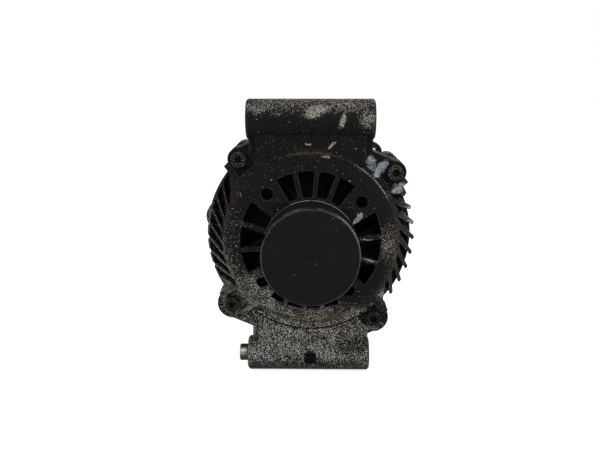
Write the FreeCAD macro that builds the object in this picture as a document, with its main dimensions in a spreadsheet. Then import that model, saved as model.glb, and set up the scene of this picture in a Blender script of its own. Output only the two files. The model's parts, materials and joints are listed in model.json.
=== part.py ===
"""Car alternator with an overrunning pulley and two mounting barrels, in millimetres.

The frame has +X to the right as seen from the pulley, +Y along the shaft away from the pulley and +Z up.
The origin is in the lower mounting bore, on the shaft's line. Inside a body the frame is moved to the shaft:
there y = 0 is the crease plane, where the front bracket's flat ring turns into its louvred shoulder, and
z = 0 is the shaft.
"""
import FreeCAD, Part
import math
import os
import re
import Sketcher

SIZES = {
    # Where the shaft and the two barrels lie
    "shaft_rise": 83.0,
    "upper_rise": 78.7,
    "bore_setback": 9.0,
    # Front bracket: ring, face and bearing boss
    "crease_radius": 57.7,
    "ring_rise": 4.5,
    "ring_round": 10.0,
    "ring_round_width": 7.0,
    "face_wall": 4.0,
    "face_slope": 5.0,
    "ring_edge": 0.8,
    "crease_step": 1.5,
    "window_outer": 46.5,
    "window_inner": 30.0,
    "window_rib": 3.0,
    "spoke_half_angle": 11.5,
    "boss_radius": 28.0,
    "boss_reach": 17.0,
    "boss_lip": 3.0,
    "boss_chamfer": 1.0,
    "boss_opening": 17.0,
    "spoke_hole": 8.0,
    "spoke_hole_circle": 42.3,
    # Front bracket: louvred shoulder and rim
    "shoulder_radius": 71.0,
    "shoulder_depth": 18.0,
    "shoulder_wall": 12.0,
    "rim_radius": 68.3,
    "rim_front": 20.0,
    "rim_back": 28.0,
    "seat_depth": 6.0,
    "cavity_radius": 62.6,
    "fin_root": 58.9,
    "fin_blunt": 1.8,
    "fin_blunt_turn": 2.8,
    "fin_ring": 1.6,
    "fin_notch": 2.0,
    "fin_notch_depth": 1.2,
    "fin_notches": 4,
    "right_fin_start": -36.0,
    "right_fin_pitch": 8.7,
    "right_fin_width": 4.4,
    "right_fin_sweep": 13.5,
    "right_fin_gaps": 8,
    "left_fin_start": 150.0,
    "left_fin_pitch": 8.05,
    "left_fin_width": 2.2,
    "left_fin_sweep": 9.0,
    "left_fin_gaps": 8,
    # Lugs and through bolts
    "bolt_circle": 71.0,
    "upper_left_angle": 132.0,
    "upper_right_angle": 38.4,
    "lower_left_angle": 221.3,
    "lower_right_angle": 307.3,
    "bolt_size": 5.0,
    "bolt_hole_play": 0.3,
    "bolt_head": 10.0,
    "bolt_head_height": 5.0,
    "bolt_socket": 5.0,
    "socket_depth": 3.0,
    "lug_floor": 8.0,
    "lug_width": 22.0,
    "lug_pocket": 14.0,
    "lug_pocket_start": 62.0,
    "lug_slope": 0.55,
    "lug_front_reach": 3.0,
    "lug_root": 45.0,
    "lug_flare": 2.0,
    "upper_lug_round": 7.6,
    "lower_lug_round": 10.6,
    "web_slope": 0.42,
    "web_overlap": 2.0,
    "side_lobe_angle": 169.0,
    "side_lobe_circle": 62.0,
    "side_lobe_round": 11.0,
    # Mounting barrels
    "upper_barrel": 26.5,
    "upper_left": 42.0,
    "upper_right": 41.6,
    "upper_bore": 8.5,
    "lower_barrel": 23.4,
    "lower_left": 42.9,
    "lower_right": 40.5,
    "lower_bore": 8.5,
    "barrel_chamfer": 1.2,
    "front_hole": 8.5,
    "front_hole_depth": 5.0,
    "upper_blend": 26.0,
    "upper_blend_foot": 3.0,
    "plate_root": 49.7,
    "plate_front": 1.0,
    "neck_front": 5.0,
    "neck_back": 20.0,
    "upper_plate_width": 71.4,
    "upper_neck_width": 81.0,
    "lower_plate_width": 71.0,
    "lower_neck_width": 79.0,
    # Sliding bush in the lower barrel
    "bush_outer": 11.5,
    "bush_inner": 8.5,
    "bush_length": 24.0,
    "bush_stand": 6.0,
    "bush_play": 0.04,
    "bush_end_room": 1.0,
    "bush_chamfer": 0.6,
    # Front bearing, its retainer and the spacer
    "front_bearing_bore": 17.0,
    "front_bearing_outer": 47.0,
    "front_bearing_width": 14.0,
    "front_ball": 8.6,
    "front_ball_count": 7,
    "retainer_thick": 2.0,
    "retainer_inner": 15.5,
    "retainer_screw_circle": 32.0,
    "retainer_screw": 4.0,
    "retainer_head": 7.6,
    "retainer_head_height": 2.4,
    "retainer_boss": 9.6,
    "retainer_ear": 12.0,
    "retainer_rim": 3.8,
    "retainer_boss_front": 12.0,
    "retainer_hole_floor": 2.0,
    "retainer_screw_room": 1.0,
    "spacer_length": 3.0,
    "spacer_wall": 4.0,
    # Rear bracket and its bearing
    "rear_seat_back": 2.0,
    "rear_reach": 22.0,
    "rear_wall": 4.0,
    "rear_side_wall": 4.0,
    "rear_side_inner": 64.0,
    "rear_face_radius": 56.0,
    "rear_round": 18.0,
    "rear_round_depth": 8.0,
    "rear_window_inner": 27.0,
    "rear_window_outer": 55.0,
    "rear_window_count": 12,
    "rear_rib": 4.0,
    "rear_hub_radius": 22.6,
    "rear_hub_inset": 4.0,
    "rear_hub_lip": 3.0,
    "rear_hub_opening": 11.0,
    "rear_lug_length": 16.0,
    "rear_lug_round": 7.5,
    "rear_gap_depth": 10.0,
    "rear_gap_width": 5.2,
    "rear_gap_land": 1.0,
    "rear_gap_past": 2.7,
    "side_gap_count": 8,
    "side_gap_pitch": 8.7,
    "right_gap_start": -33.0,
    "left_gap_start": 147.0,
    "end_gap_count": 6,
    "end_gap_pitch": 9.5,
    "upper_gap_start": 62.0,
    "lower_gap_start": 238.0,
    "bolt_thread_room": 2.0,
    "ear_angle": 50.0,
    "ear_circle": 68.5,
    "ear_round": 7.0,
    "ear_hole": 6.0,
    "rear_bearing_bore": 15.0,
    "rear_bearing_outer": 35.0,
    "rear_bearing_width": 11.0,
    "rear_ball": 6.0,
    "rear_ball_count": 8,
    "sleeve_wall": 0.8,
    "race_play": 0.08,
    "seal_thick": 0.8,
    "seal_inset": 0.3,
    "seal_play": 0.15,
    "land_share": 0.34,
    "cage_thick": 1.2,
    "cage_side": 0.7,
    # Pulley and clutch
    "pulley_radius": 30.4,
    "pulley_start": -46.0,
    "pulley_width": 25.0,
    "pulley_bore": 22.0,
    "belt_ribs": 6,
    "rib_pitch": 3.56,
    "rib_depth": 2.6,
    "rib_flat": 0.3,
    "hub_radius": 16.0,
    "hub_front_inset": 2.0,
    "hub_socket_wall": 1.5,
    "roller": 3.8,
    "roller_count": 10,
    "roller_length": 8.0,
    "end_bearing_width": 6.0,
    "clutch_play": 0.06,
    "clutch_cage_thick": 1.4,
    "clutch_cage_side": 0.6,
    "clutch_cage_play": 0.1,
    "end_bearing_inset": 0.4,
    "cap_radius": 29.8,
    "cap_thick": 2.2,
    "cap_edge": 0.8,
    "cap_dimple": 2.0,
    "cap_dimple_depth": 0.5,
    "cap_skirt": 1.6,
    "cap_skirt_depth": 2.0,
    # Rotor
    "thread_radius": 8.0,
    "shaft_front": -40.0,
    "shaft_collar": 11.5,
    "collar_width": 3.0,
    "shoulder_width": 1.0,
    "shoulder_height": 1.5,
    "shaft_chamfer": 1.0,
    "shaft_tail": 1.0,
    "core_shaft": 10.0,
    "ring_shaft": 6.0,
    "pole_radius": 49.6,
    "pole_length": 46.0,
    "pole_disc": 12.0,
    "pole_disc_radius": 37.0,
    "pole_core": 20.0,
    "pole_count": 8,
    "finger_root": 12.5,
    "finger_tip": 5.0,
    "finger_thick": 10.0,
    "finger_tip_thick": 4.6,
    "finger_tip_room": 6.0,
    "coil_radius": 37.5,
    "bobbin_wall": 1.2,
    "bobbin_lip": 0.6,
    "fan_radius": 46.0,
    "fan_inner": 27.0,
    "fan_height": 11.0,
    "fan_sheet": 1.6,
    "fan_blades": 10,
    "fan_hole_play": 1.0,
    "blade_curve": 30.0,
    "blade_sheet": 1.6,
    "blade_sweep": 8.0,
    "blade_tip_inset": 1.5,
    "slip_ring_radius": 8.0,
    "slip_ring_width": 5.5,
    "slip_ring_gap": 2.0,
    "slip_ring_wall": 0.9,
    "slip_start_room": 4.0,
    "slip_sleeve_lip": 0.8,
    # Stator
    "core_radius": 65.0,
    "core_bore": 50.0,
    "core_length": 36.0,
    "slot_count": 36,
    "slot_bottom": 60.0,
    "slot_half": 2.6,
    "slot_mouth_half": 1.2,
    "slot_lip": 1.6,
    "winding_play": 0.3,
    "winding_reach": 11.0,
    "winding_lift": 1.5,
    "winding_inner": 52.4,
    "winding_outer": 61.8,
    "winding_round": 3.0,
    "bar_inset": 0.6,
    # Rectifier, output stud and cover
    "pad_height": 2.0,
    "pad_radius": 5.0,
    "plate_thick": 3.0,
    "plate_inner": 26.0,
    "plate_outer": 51.0,
    "plate_gap_half": 36.0,
    "board_thick": 3.0,
    "board_outer": 55.2,
    "plate_spacing": 2.0,
    "diode_radius": 6.4,
    "diode_circle": 42.0,
    "diode_stand": 1.0,
    "diode_shoulder": 0.8,
    "negative_diode_first": 178.0,
    "negative_diode_second": 232.0,
    "negative_diode_third": 305.0,
    "positive_diode_first": 205.0,
    "positive_diode_second": 255.0,
    "positive_diode_third": 10.0,
    "lead_first": 165.0,
    "lead_second": 219.0,
    "lead_third": 322.0,
    "lead_stand": 0.5,
    "lead_radius": 0.9,
    "lead_circle": 53.6,
    "stud_radius": 2.5,
    "stud_circle": 33.0,
    "stud_left": 150.0,
    "stud_lower": 270.0,
    "stud_right": 30.0,
    "stud_stand": 1.0,
    "stud_clearance": 1.0,
    "spacer_tube_wall": 2.2,
    "stud_nut": 8.0,
    "stud_nut_height": 3.5,
    "output_radius": 4.0,
    "output_shank": 3.6,
    "output_circle": 42.0,
    "output_angle": -22.0,
    "output_collar": 5.5,
    "output_stand": 18.0,
    "output_nut": 13.0,
    "output_nut_height": 6.5,
    "insulator_wall": 3.0,
    "insulator_stand": 2.5,
    "cover_radius": 58.0,
    "cover_wall": 2.0,
    "cover_depth": 25.0,
    "cover_round": 5.0,
    "cover_play": 0.2,
    "vent_width": 3.2,
    "vent_inner": 22.0,
    "vent_outer": 46.0,
    "vent_pitch": 12.0,
    "left_vent_angle": 176.0,
    "left_vent_count": 6,
    "lower_vent_angle": 284.0,
    "lower_vent_count": 3,
    "cover_stand": 0.5,
    # Brushes, holder and regulator
    "brush_width": 6.4,
    "brush_thick": 4.4,
    "brush_length": 13.0,
    "brush_play": 0.15,
    "holder_front_room": 0.2,
    "holder_rear_reach": 2.0,
    "holder_half_width": 8.5,
    "holder_bottom": 9.6,
    "holder_top": 35.0,
    "spring_length": 10.0,
    "spring_radius": 1.9,
    "spring_wall": 0.7,
    "regulator_half_width": 15.0,
    "regulator_top": 53.0,
    "regulator_depth": 12.0,
    "regulator_room": 1.5,
    "socket_half_width": 12.0,
    "socket_height": 11.0,
    "socket_wall": 1.6,
    "socket_inset": 1.0,
    "socket_floor": 2.0,
    "socket_stand": 6.0,
    "pin_radius": 0.8,
    "pin_spacing": 5.5,
    "pin_setback": 5.0,
}

# Degrees in one radian, and how far a cut runs past the open side that it leaves by
DEGREES = "180 / pi"
PAST = "1"

# Stations along the shaft, worked out from the sizes
FRONT_BEARING_START = "(boss_lip - boss_reach)"
FRONT_BEARING_END = f"({FRONT_BEARING_START} + front_bearing_width)"
STATOR_START = "(rim_back - seat_depth)"
STATOR_END = f"({STATOR_START} + core_length)"
ROTOR_MIDDLE = f"({STATOR_START} + core_length / 2)"
POLE_START = f"({ROTOR_MIDDLE} - pole_length / 2)"
POLE_END = f"({ROTOR_MIDDLE} + pole_length / 2)"
REAR_INSIDE = f"({STATOR_END} + rear_reach)"
REAR_FACE = f"({REAR_INSIDE} + rear_wall)"
REAR_BEARING_START = f"({REAR_INSIDE} - rear_hub_inset)"
REAR_BEARING_END = f"({REAR_BEARING_START} + rear_bearing_width)"
REAR_HUB_END = f"({REAR_BEARING_END} + rear_hub_lip)"
SLIP_START = f"({REAR_BEARING_END} + slip_start_room)"
SLIP_SECOND = f"({SLIP_START} + slip_ring_width + slip_ring_gap)"
SLIP_END = f"({SLIP_SECOND} + slip_ring_width)"
PULLEY_END = "(pulley_start + pulley_width)"
HUB_START = "(pulley_start + hub_front_inset)"
HUB_END = f"({FRONT_BEARING_START} - spacer_length)"
NEGATIVE_START = f"({REAR_FACE} + pad_height)"
NEGATIVE_END = f"({NEGATIVE_START} + plate_thick)"
BOARD_START = f"({NEGATIVE_END} + plate_spacing)"
BOARD_END = f"({BOARD_START} + board_thick)"
POSITIVE_START = f"({BOARD_END} + plate_spacing)"
POSITIVE_END = f"({POSITIVE_START} + plate_thick)"
COVER_END = f"({REAR_FACE} + cover_depth)"
BOLT_ANGLES = ("upper_left_angle", "upper_right_angle", "lower_left_angle", "lower_right_angle")
STUD_ANGLES = ("stud_left", "stud_lower", "stud_right")
NEGATIVE_DIODE_ANGLES = ("negative_diode_first", "negative_diode_second", "negative_diode_third")
POSITIVE_DIODE_ANGLES = ("positive_diode_first", "positive_diode_second", "positive_diode_third")
LEAD_ANGLES = ("lead_first", "lead_second", "lead_third")

document = FreeCAD.newDocument("Alternator")
sheet = document.addObject("Spreadsheet::Sheet", "Sizes")
BODIES = []


def fill_sheet():
    """Write each driving size into the sheet as a plain number with its own alias."""
    for row, (alias, number) in enumerate(SIZES.items(), start=1):
        sheet.set(f"A{row}", alias)
        sheet.set(f"B{row}", str(number))
        sheet.setAlias(f"B{row}", alias)
    document.recompute()


def bind(text):
    """Turn the short size names of a formula into references to the sheet."""

    def reference(word):
        return f"Sizes.{word[0]}" if word[0] in SIZES else word[0]

    return re.sub(r"[a-z][a-z_]+", reference, str(text))


def number(text):
    """The present value of a formula of size names."""
    found = sheet.evalExpression(bind(text))
    return float(getattr(found, "Value", found))


def new_body(label):
    """A body whose own frame lies on the shaft, at the crease plane."""
    body = document.addObject("PartDesign::Body", label)
    body.Label = label
    body.setExpression("Placement.Base.y", bind("-bore_setback"))
    body.setExpression("Placement.Base.z", bind("shaft_rise"))
    BODIES.append(body)
    return body


def origin_feature(body, role):
    """One of a body's own origin planes or axes."""
    return next(feature for feature in body.Origin.OriginFeatures if feature.Role == role)


class Drawing:
    """A sketch's edges and the dimensions that tie them to the sheet."""

    def __init__(self, sketch):
        self.sketch = sketch
        self.constraints = []
        self.formulas = []

    def join(self, *where):
        """Make two ends coincide."""
        self.constraints.append(Sketcher.Constraint("Coincident", *where))

    def hold(self, kind, *where, value):
        """Dimension an edge or point by a formula."""
        formula = f"abs({value})" if kind == "Radius" else value
        self.formulas.append((len(self.constraints), formula))
        self.constraints.append(Sketcher.Constraint(kind, *where, number(formula)))

    def place(self, edge, end, x, y):
        """Hold one point of an edge at formulas for x and y."""
        self.hold("DistanceX", -1, 1, edge, end, value=x)
        self.hold("DistanceY", -1, 1, edge, end, value=y)

    def finish(self):
        """Add the dimensions to the sketch and bind each to its formula."""
        self.sketch.addConstraint(self.constraints)
        for index, formula in self.formulas:
            self.sketch.setExpression(f"Constraints[{index}]", bind(formula))


def add_circle(drawing, loop):
    """Draw a circle given by its centre and radius."""
    x, y, radius = loop
    centre = FreeCAD.Vector(number(x), number(y), 0)
    circle = Part.Circle(centre, FreeCAD.Vector(0, 0, 1), number(radius))
    edge = drawing.sketch.addGeometry(circle, False)
    drawing.place(edge, 3, x, y)
    drawing.hold("Radius", edge, value=radius)


def arc_between(first, second, radius):
    """An arc from first to second whose centre is to the left for a positive radius."""
    chord = second - first
    rise = math.sqrt(max(radius * radius - chord.Length * chord.Length / 4, 0))
    left = FreeCAD.Vector(-chord.y, chord.x, 0).normalize()
    centre = (first + second) / 2 + left * math.copysign(rise, radius)
    begin, end = (first, second) if radius > 0 else (second, first)
    start_angle = math.atan2(begin.y - centre.y, begin.x - centre.x)
    end_angle = math.atan2(end.y - centre.y, end.x - centre.x)
    circle = Part.Circle(centre, FreeCAD.Vector(0, 0, 1), abs(radius))
    return Part.ArcOfCircle(circle, start_angle, end_angle)


def add_outline(drawing, loop):
    """Draw a closed outline; a point with a third value is reached by an arc of that radius."""
    places = [FreeCAD.Vector(number(point[0]), number(point[1]), 0) for point in loop]
    edges = []
    for index, place in enumerate(places):
        following = (index + 1) % len(loop)
        if len(loop[following]) == 3:
            radius = number(loop[following][2])
            edge = drawing.sketch.addGeometry(arc_between(place, places[following], radius), False)
            edges.append((edge, 1, 2) if radius > 0 else (edge, 2, 1))
            drawing.hold("Radius", edge, value=loop[following][2])
        else:
            edge = drawing.sketch.addGeometry(Part.LineSegment(place, places[following]), False)
            edges.append((edge, 1, 2))
    for index, (edge, begin, end) in enumerate(edges):
        following, next_begin, _ = edges[(index + 1) % len(edges)]
        drawing.join(edge, end, following, next_begin)
        drawing.place(edge, begin, loop[index][0], loop[index][1])


def new_sketch(body, name, role, loops, shift, turn="0"):
    """A sketch on one of the body's origin planes, shifted and turned within it."""
    sketch = body.newObject("Sketcher::SketchObject", name)
    sketch.AttachmentSupport = [(origin_feature(body, role), "")]
    sketch.MapMode = "FlatFace"
    a_little = FreeCAD.Rotation(FreeCAD.Vector(0, 0, 1), 1)
    sketch.AttachmentOffset = FreeCAD.Placement(FreeCAD.Vector(), a_little)
    for axis, value in zip("xyz", shift):
        sketch.setExpression(f"AttachmentOffset.Base.{axis}", bind(value))
    sketch.setExpression("AttachmentOffset.Rotation.Angle", bind(turn))
    drawing = Drawing(sketch)
    for loop in loops:
        if isinstance(loop, tuple):
            add_circle(drawing, loop)
        else:
            add_outline(drawing, loop)
    drawing.finish()
    return sketch


def extrude(body, name, sketch, length, remove, reverse):
    """A pad or pocket of the sketch."""
    feature = body.newObject("PartDesign::Pocket" if remove else "PartDesign::Pad", name)
    feature.Profile = sketch
    feature.setExpression("Length", bind(length))
    feature.Reversed = reverse
    body.Tip = feature
    return feature


def along(body, name, loops, start, stop, remove=False, turn="0"):
    """Extrude loops drawn in x and z along the shaft, from y = start to y = stop."""
    sketch = new_sketch(body, f"{name}_outline", "XZ_Plane", loops, ("0", "0", f"-({start})"), turn)
    return extrude(body, name, sketch, f"({stop}) - ({start})", remove, not remove)


def through(body, name, loops, start, stop, turn="0"):
    """Cut loops drawn in x and z right through, from y = start to y = stop and past both."""
    return along(body, name, loops, f"{start} - {PAST}", f"{stop} + {PAST}", remove=True, turn=turn)


def across(body, name, loops, start, stop, remove=False):
    """Extrude loops drawn in y and z along x."""
    sketch = new_sketch(body, f"{name}_outline", "YZ_Plane", loops, ("0", "0", start))
    return extrude(body, name, sketch, f"({stop}) - ({start})", remove, remove)


def upward(body, name, loops, start, stop, remove=False):
    """Extrude loops drawn in x and y along z."""
    sketch = new_sketch(body, f"{name}_outline", "XY_Plane", loops, ("0", "0", start))
    return extrude(body, name, sketch, f"({stop}) - ({start})", remove, remove)


def turned(body, name, loops, remove=False, role="YZ_Plane", shift=("0", "0", "0")):
    """Revolve loops about the sketch's own first axis: the shaft, unless it is shifted."""
    sketch = new_sketch(body, f"{name}_outline", role, loops, shift)
    feature = body.newObject("PartDesign::Groove" if remove else "PartDesign::Revolution", name)
    feature.Profile = sketch
    feature.ReferenceAxis = (sketch, ["H_Axis"])
    feature.Angle = 360
    body.Tip = feature
    return feature


def turned_across(body, name, loops, y, z, remove=False):
    """Revolve loops drawn in x and radius about a line along x at the given y and z."""
    return turned(body, name, loops, remove, "XY_Plane", ("0", y, z))


def blend(body, name, first, start, second, stop):
    """A loft between two outlines drawn in x and z."""
    near = new_sketch(body, f"{name}_near", "XZ_Plane", [first], ("0", "0", f"-({start})"))
    far = new_sketch(body, f"{name}_far", "XZ_Plane", [second], ("0", "0", f"-({stop})"))
    feature = body.newObject("PartDesign::AdditiveLoft", name)
    feature.Profile = near
    feature.Sections = [far]
    body.Tip = feature
    return feature


def repeat(body, name, features, count, step):
    """Repeat features counterclockwise about the shaft, as seen from the pulley."""
    feature = body.newObject("PartDesign::PolarPattern", name)
    feature.Originals = features
    feature.Axis = (origin_feature(body, "Y_Axis"), [""])
    feature.Reversed = True
    feature.setExpression("Occurrences", bind(count))
    feature.setExpression("Angle", bind(f"({count} - 1) * ({step})"))
    body.Tip = feature
    return feature


def box(left, right, low, high):
    """A rectangle as an outline."""
    return [(left, low), (right, low), (right, high), (left, high)]


def polar(radius, angle):
    """The x and z of a point given by radius and angle, counterclockwise from +X."""
    return f"({radius}) * cos({angle})", f"({radius}) * sin({angle})"


def rotated(outline, angle):
    """An outline turned about the shaft; arcs keep their radius."""
    turned_points = []
    for x, z, *radius in outline:
        across_shaft = f"({x}) * cos({angle}) - ({z}) * sin({angle})"
        up = f"({x}) * sin({angle}) + ({z}) * cos({angle})"
        turned_points.append((across_shaft, up, *radius))
    return turned_points


def ring_of_circles(circle, angles, radius):
    """Equal circles at the given angles of a pitch circle."""
    return [(*polar(circle, angle), radius) for angle in angles]


def sector(inner, outer, start, stop, pieces=1):
    """Part of a flat ring between two angles, its arcs in one or more pieces."""
    steps = [f"({start}) + (({stop}) - ({start})) * {index} / {pieces}" for index in range(pieces + 1)]
    outline = [(*polar(inner, steps[0]),), (*polar(outer, steps[0]),)]
    outline += [(*polar(outer, step), outer) for step in steps[1:]]
    outline.append(polar(inner, steps[-1]))
    outline += [(*polar(inner, step), f"-({inner})") for step in reversed(steps[:-1])]
    return outline[1:]


def hexagon(x, z, flats):
    """A hexagon given by its centre and its size across flats."""
    reach = f"({flats}) / 2 / cos(30)"
    corners = range(0, 360, 60)
    return [(f"({x}) + {reach} * cos({turn})", f"({z}) + {reach} * sin({turn})") for turn in corners]


def bearing_ring_radii(prefix):
    """Pitch radius and the radii of the inner and outer race's lands."""
    pitch = f"({prefix}_bearing_bore + {prefix}_bearing_outer) / 4"
    return pitch, f"({pitch} - {prefix}_ball * land_share)", f"({pitch} + {prefix}_ball * land_share)"


def front_shell(body):
    """The turned outer form of the front bracket: boss, sloping face, ring, shoulder and rim."""
    face_front = "-(ring_rise + face_slope)"
    outline = [
        ("-boss_reach", "0"),
        ("-boss_reach", "boss_radius - boss_chamfer"),
        ("boss_chamfer - boss_reach", "boss_radius"),
        (face_front, "boss_radius"),
        ("-ring_rise", "window_outer"),
        ("ring_edge - ring_rise", "crease_radius - ring_round_width"),
        ("0", "crease_radius", "-ring_round"),
        ("crease_step", "fin_root"),
        ("shoulder_depth", "shoulder_radius"),
        ("rim_front", "shoulder_radius"),
        ("rim_front", "rim_radius"),
        ("rim_back", "rim_radius"),
        ("rim_back", "0"),
    ]
    turned(body, "shell", [outline])


def lug_round(angle):
    """The radius of a lug's round end: the lower lugs are larger."""
    return "upper_lug_round" if angle.startswith("upper") else "lower_lug_round"


def bolt_lugs(body):
    """Four lugs: a block with sloping side walls, then a round end level with the pocket's floor."""
    block = box("lug_root", "bolt_circle + lug_front_reach", "-lug_width / 2", "lug_width / 2")
    along(body, "lug_blocks", [rotated(block, angle) for angle in BOLT_ANGLES], "0", "rim_back")
    beyond = "(bolt_circle + lug_width)"
    slope = [
        (f"-{PAST}", f"crease_radius - {PAST}"),
        (f"-{PAST}", beyond),
        (f"lug_slope * ({beyond} - crease_radius)", beyond),
        ("0", "crease_radius"),
    ]
    turned(body, "lug_slope", [slope], remove=True)
    ends = [rotated(lug_end(lug_round(angle), "lug_root"), angle) for angle in BOLT_ANGLES]
    along(body, "lug_ends", ends, "lug_floor", "rim_back")


def lug_end(size, root):
    """A lug's outline from its root to its round end."""
    return [
        (root, f"-{size} - lug_flare"),
        ("bolt_circle", f"-{size}"),
        (f"bolt_circle + {size}", "0", size),
        ("bolt_circle", size, size),
        (root, f"{size} + lug_flare"),
    ]


def neck_webs(body):
    """Webs that fill the corner between each lug and the neck of the nearer barrel."""
    webs = []
    for angle in BOLT_ANGLES:
        across_sign = "-" if "left" in angle else ""
        up_sign = "-" if "lower" in angle else ""
        neck = f"{angle.split('_')[0]}_neck_width / 2"
        x, z = polar("bolt_circle", angle)
        edge = f"({across_sign}({neck} - web_overlap))"
        crest = f"({z} + {up_sign}{lug_round(angle)})"
        rise = f"({up_sign}web_slope * abs({x} - {edge}))"
        foot = f"({up_sign}lug_root)"
        webs.append([(x, crest), (edge, f"{crest} + {rise}"), (edge, foot), (x, foot)])
    along(body, "webs", webs, "lug_floor", "rim_back")


def rim_lobe(body):
    """The rounded lobe of the rim at the left."""
    lobe = (*polar("side_lobe_circle", "side_lobe_angle"), "side_lobe_round")
    along(body, "side_lobe", [lobe], "rim_front", "rim_back")


def bolt_pockets(body):
    """The square pockets for the bolt heads, and the bolt holes."""
    pocket = box("lug_pocket_start", "bolt_circle + lug_width", "-lug_pocket / 2", "lug_pocket / 2")
    pockets = [rotated(pocket, angle) for angle in BOLT_ANGLES]
    along(body, "pockets", pockets, "-boss_reach", "lug_floor", remove=True)
    holes = ring_of_circles("bolt_circle", BOLT_ANGLES, "bolt_size / 2 + bolt_hole_play")
    through(body, "bolt_holes", holes, "lug_floor", "rim_back")


def plate_outline(width, near, far):
    """A mounting plate's outline between two heights."""
    return box(f"-({width}) / 2", f"({width}) / 2", near, far)


def barrel_profile(left, right, radius):
    """Half section of a barrel along x with chamfered ends."""
    return [
        (f"-{left}", "0"),
        (f"-{left}", f"{radius} - barrel_chamfer"),
        (f"barrel_chamfer - {left}", radius),
        (f"{right} - barrel_chamfer", radius),
        (right, f"{radius} - barrel_chamfer"),
        (right, "0"),
    ]


def mounting_barrels(body):
    """Both barrels, and the plates and necks that carry them."""
    upper = plate_outline("upper_plate_width", "plate_root", "upper_rise")
    lower = plate_outline("lower_plate_width", "-shaft_rise", "-plate_root")
    along(body, "plates", [upper, lower], "plate_front", "neck_back")
    upper_neck = plate_outline("upper_neck_width", "plate_root", "upper_rise")
    lower_neck = plate_outline("lower_neck_width", "-shaft_rise", "-plate_root")
    along(body, "necks", [upper_neck, lower_neck], "neck_front", "neck_back")
    blend_top = [
        ("neck_back", "crease_radius"),
        ("plate_front", "crease_radius + upper_blend_foot"),
        ("bore_setback - upper_barrel / 2", "upper_rise", "upper_blend"),
        ("neck_back", "upper_rise"),
    ]
    half = "upper_plate_width / 2"
    across(body, "upper_blend_form", [blend_top], f"-({half})", half)
    top = barrel_profile("upper_left", "upper_right", "upper_barrel / 2")
    turned_across(body, "upper_barrel_form", [top], "bore_setback", "upper_rise")
    bottom = barrel_profile("lower_left", "lower_right", "lower_barrel / 2")
    turned_across(body, "lower_barrel_form", [bottom], "bore_setback", "-shaft_rise")


def mounting_bores(body):
    """The bolt bores, the wider bore of the sliding bush and the hole in the lower barrel's front."""
    top = box(f"-upper_left - {PAST}", f"upper_right + {PAST}", "0", "upper_bore / 2")
    turned_across(body, "upper_bore_cut", [top], "bore_setback", "upper_rise", remove=True)
    bush_end = "bush_length + bush_end_room - lower_left"
    stepped = [
        (f"-lower_left - {PAST}", "0"),
        (f"-lower_left - {PAST}", "bush_outer / 2 + bush_play"),
        (bush_end, "bush_outer / 2 + bush_play"),
        (bush_end, "lower_bore / 2"),
        (f"lower_right + {PAST}", "lower_bore / 2"),
        (f"lower_right + {PAST}", "0"),
    ]
    turned_across(body, "lower_bore_cut", [stepped], "bore_setback", "-shaft_rise", remove=True)
    front = "bore_setback - lower_barrel / 2"
    hole = ("0", "-shaft_rise", "front_hole / 2")
    along(body, "barrel_front_hole", [hole], f"{front} - {PAST}", f"{front} + front_hole_depth", remove=True)


def fin_gap_corners(side):
    """Half the angles that a gap between two fins takes at its root and at its tip."""
    width = f"{side}_fin_width * {DEGREES}"
    return [f"({side}_fin_pitch - {width} / {radius}) / 2" for radius in ("fin_root", "shoulder_radius")]


def right_fin_gap():
    """A slanted gap that opens outward and leaves blunt tips."""
    half_root, half_tip = fin_gap_corners("right")
    lean = "right_fin_sweep / 2"
    beyond = f"shoulder_radius + {PAST}"
    blunt_angle = f"{half_tip} - {lean} + fin_blunt_turn"
    return [
        polar("fin_root", f"{lean} - {half_root}"),
        polar(beyond, f"-{lean} - {half_tip}"),
        polar(beyond, blunt_angle),
        polar("shoulder_radius - fin_blunt", blunt_angle),
        polar("fin_root", f"{lean} + {half_root}"),
    ]


def left_fin_gap():
    """A slanted gap that a thin ring closes at its outer end."""
    half_root, half_tip = fin_gap_corners("left")
    lean = "left_fin_sweep / 2"
    end = "shoulder_radius - fin_ring"
    return [
        polar("fin_root", f"{lean} - {half_root}"),
        polar(end, f"-{lean} - {half_tip}"),
        polar(end, f"{half_tip} - {lean}"),
        polar("fin_root", f"{lean} + {half_root}"),
    ]


def fin_gaps(body):
    """The gaps between the louvre fins at both sides, and the notches in the left side's ring."""
    cuts = []
    for side, gap in (("right", right_fin_gap()), ("left", left_fin_gap())):
        for index in range(SIZES[f"{side}_fin_gaps"]):
            cuts.append(rotated(gap, f"({side}_fin_start + {index} * {side}_fin_pitch)"))
    along(body, "fin_gaps", cuts, f"-{PAST}", "rim_front", remove=True)
    first = SIZES["left_fin_gaps"] - SIZES["fin_notches"]
    notches = []
    for index in range(first, SIZES["left_fin_gaps"]):
        angle = f"left_fin_start + {index} * left_fin_pitch - (left_fin_pitch + left_fin_sweep) / 2"
        notches.append((*polar("shoulder_radius + fin_notch - fin_notch_depth", angle), "fin_notch"))
    along(body, "fin_notches", notches, f"-{PAST}", "rim_front", remove=True)


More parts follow.
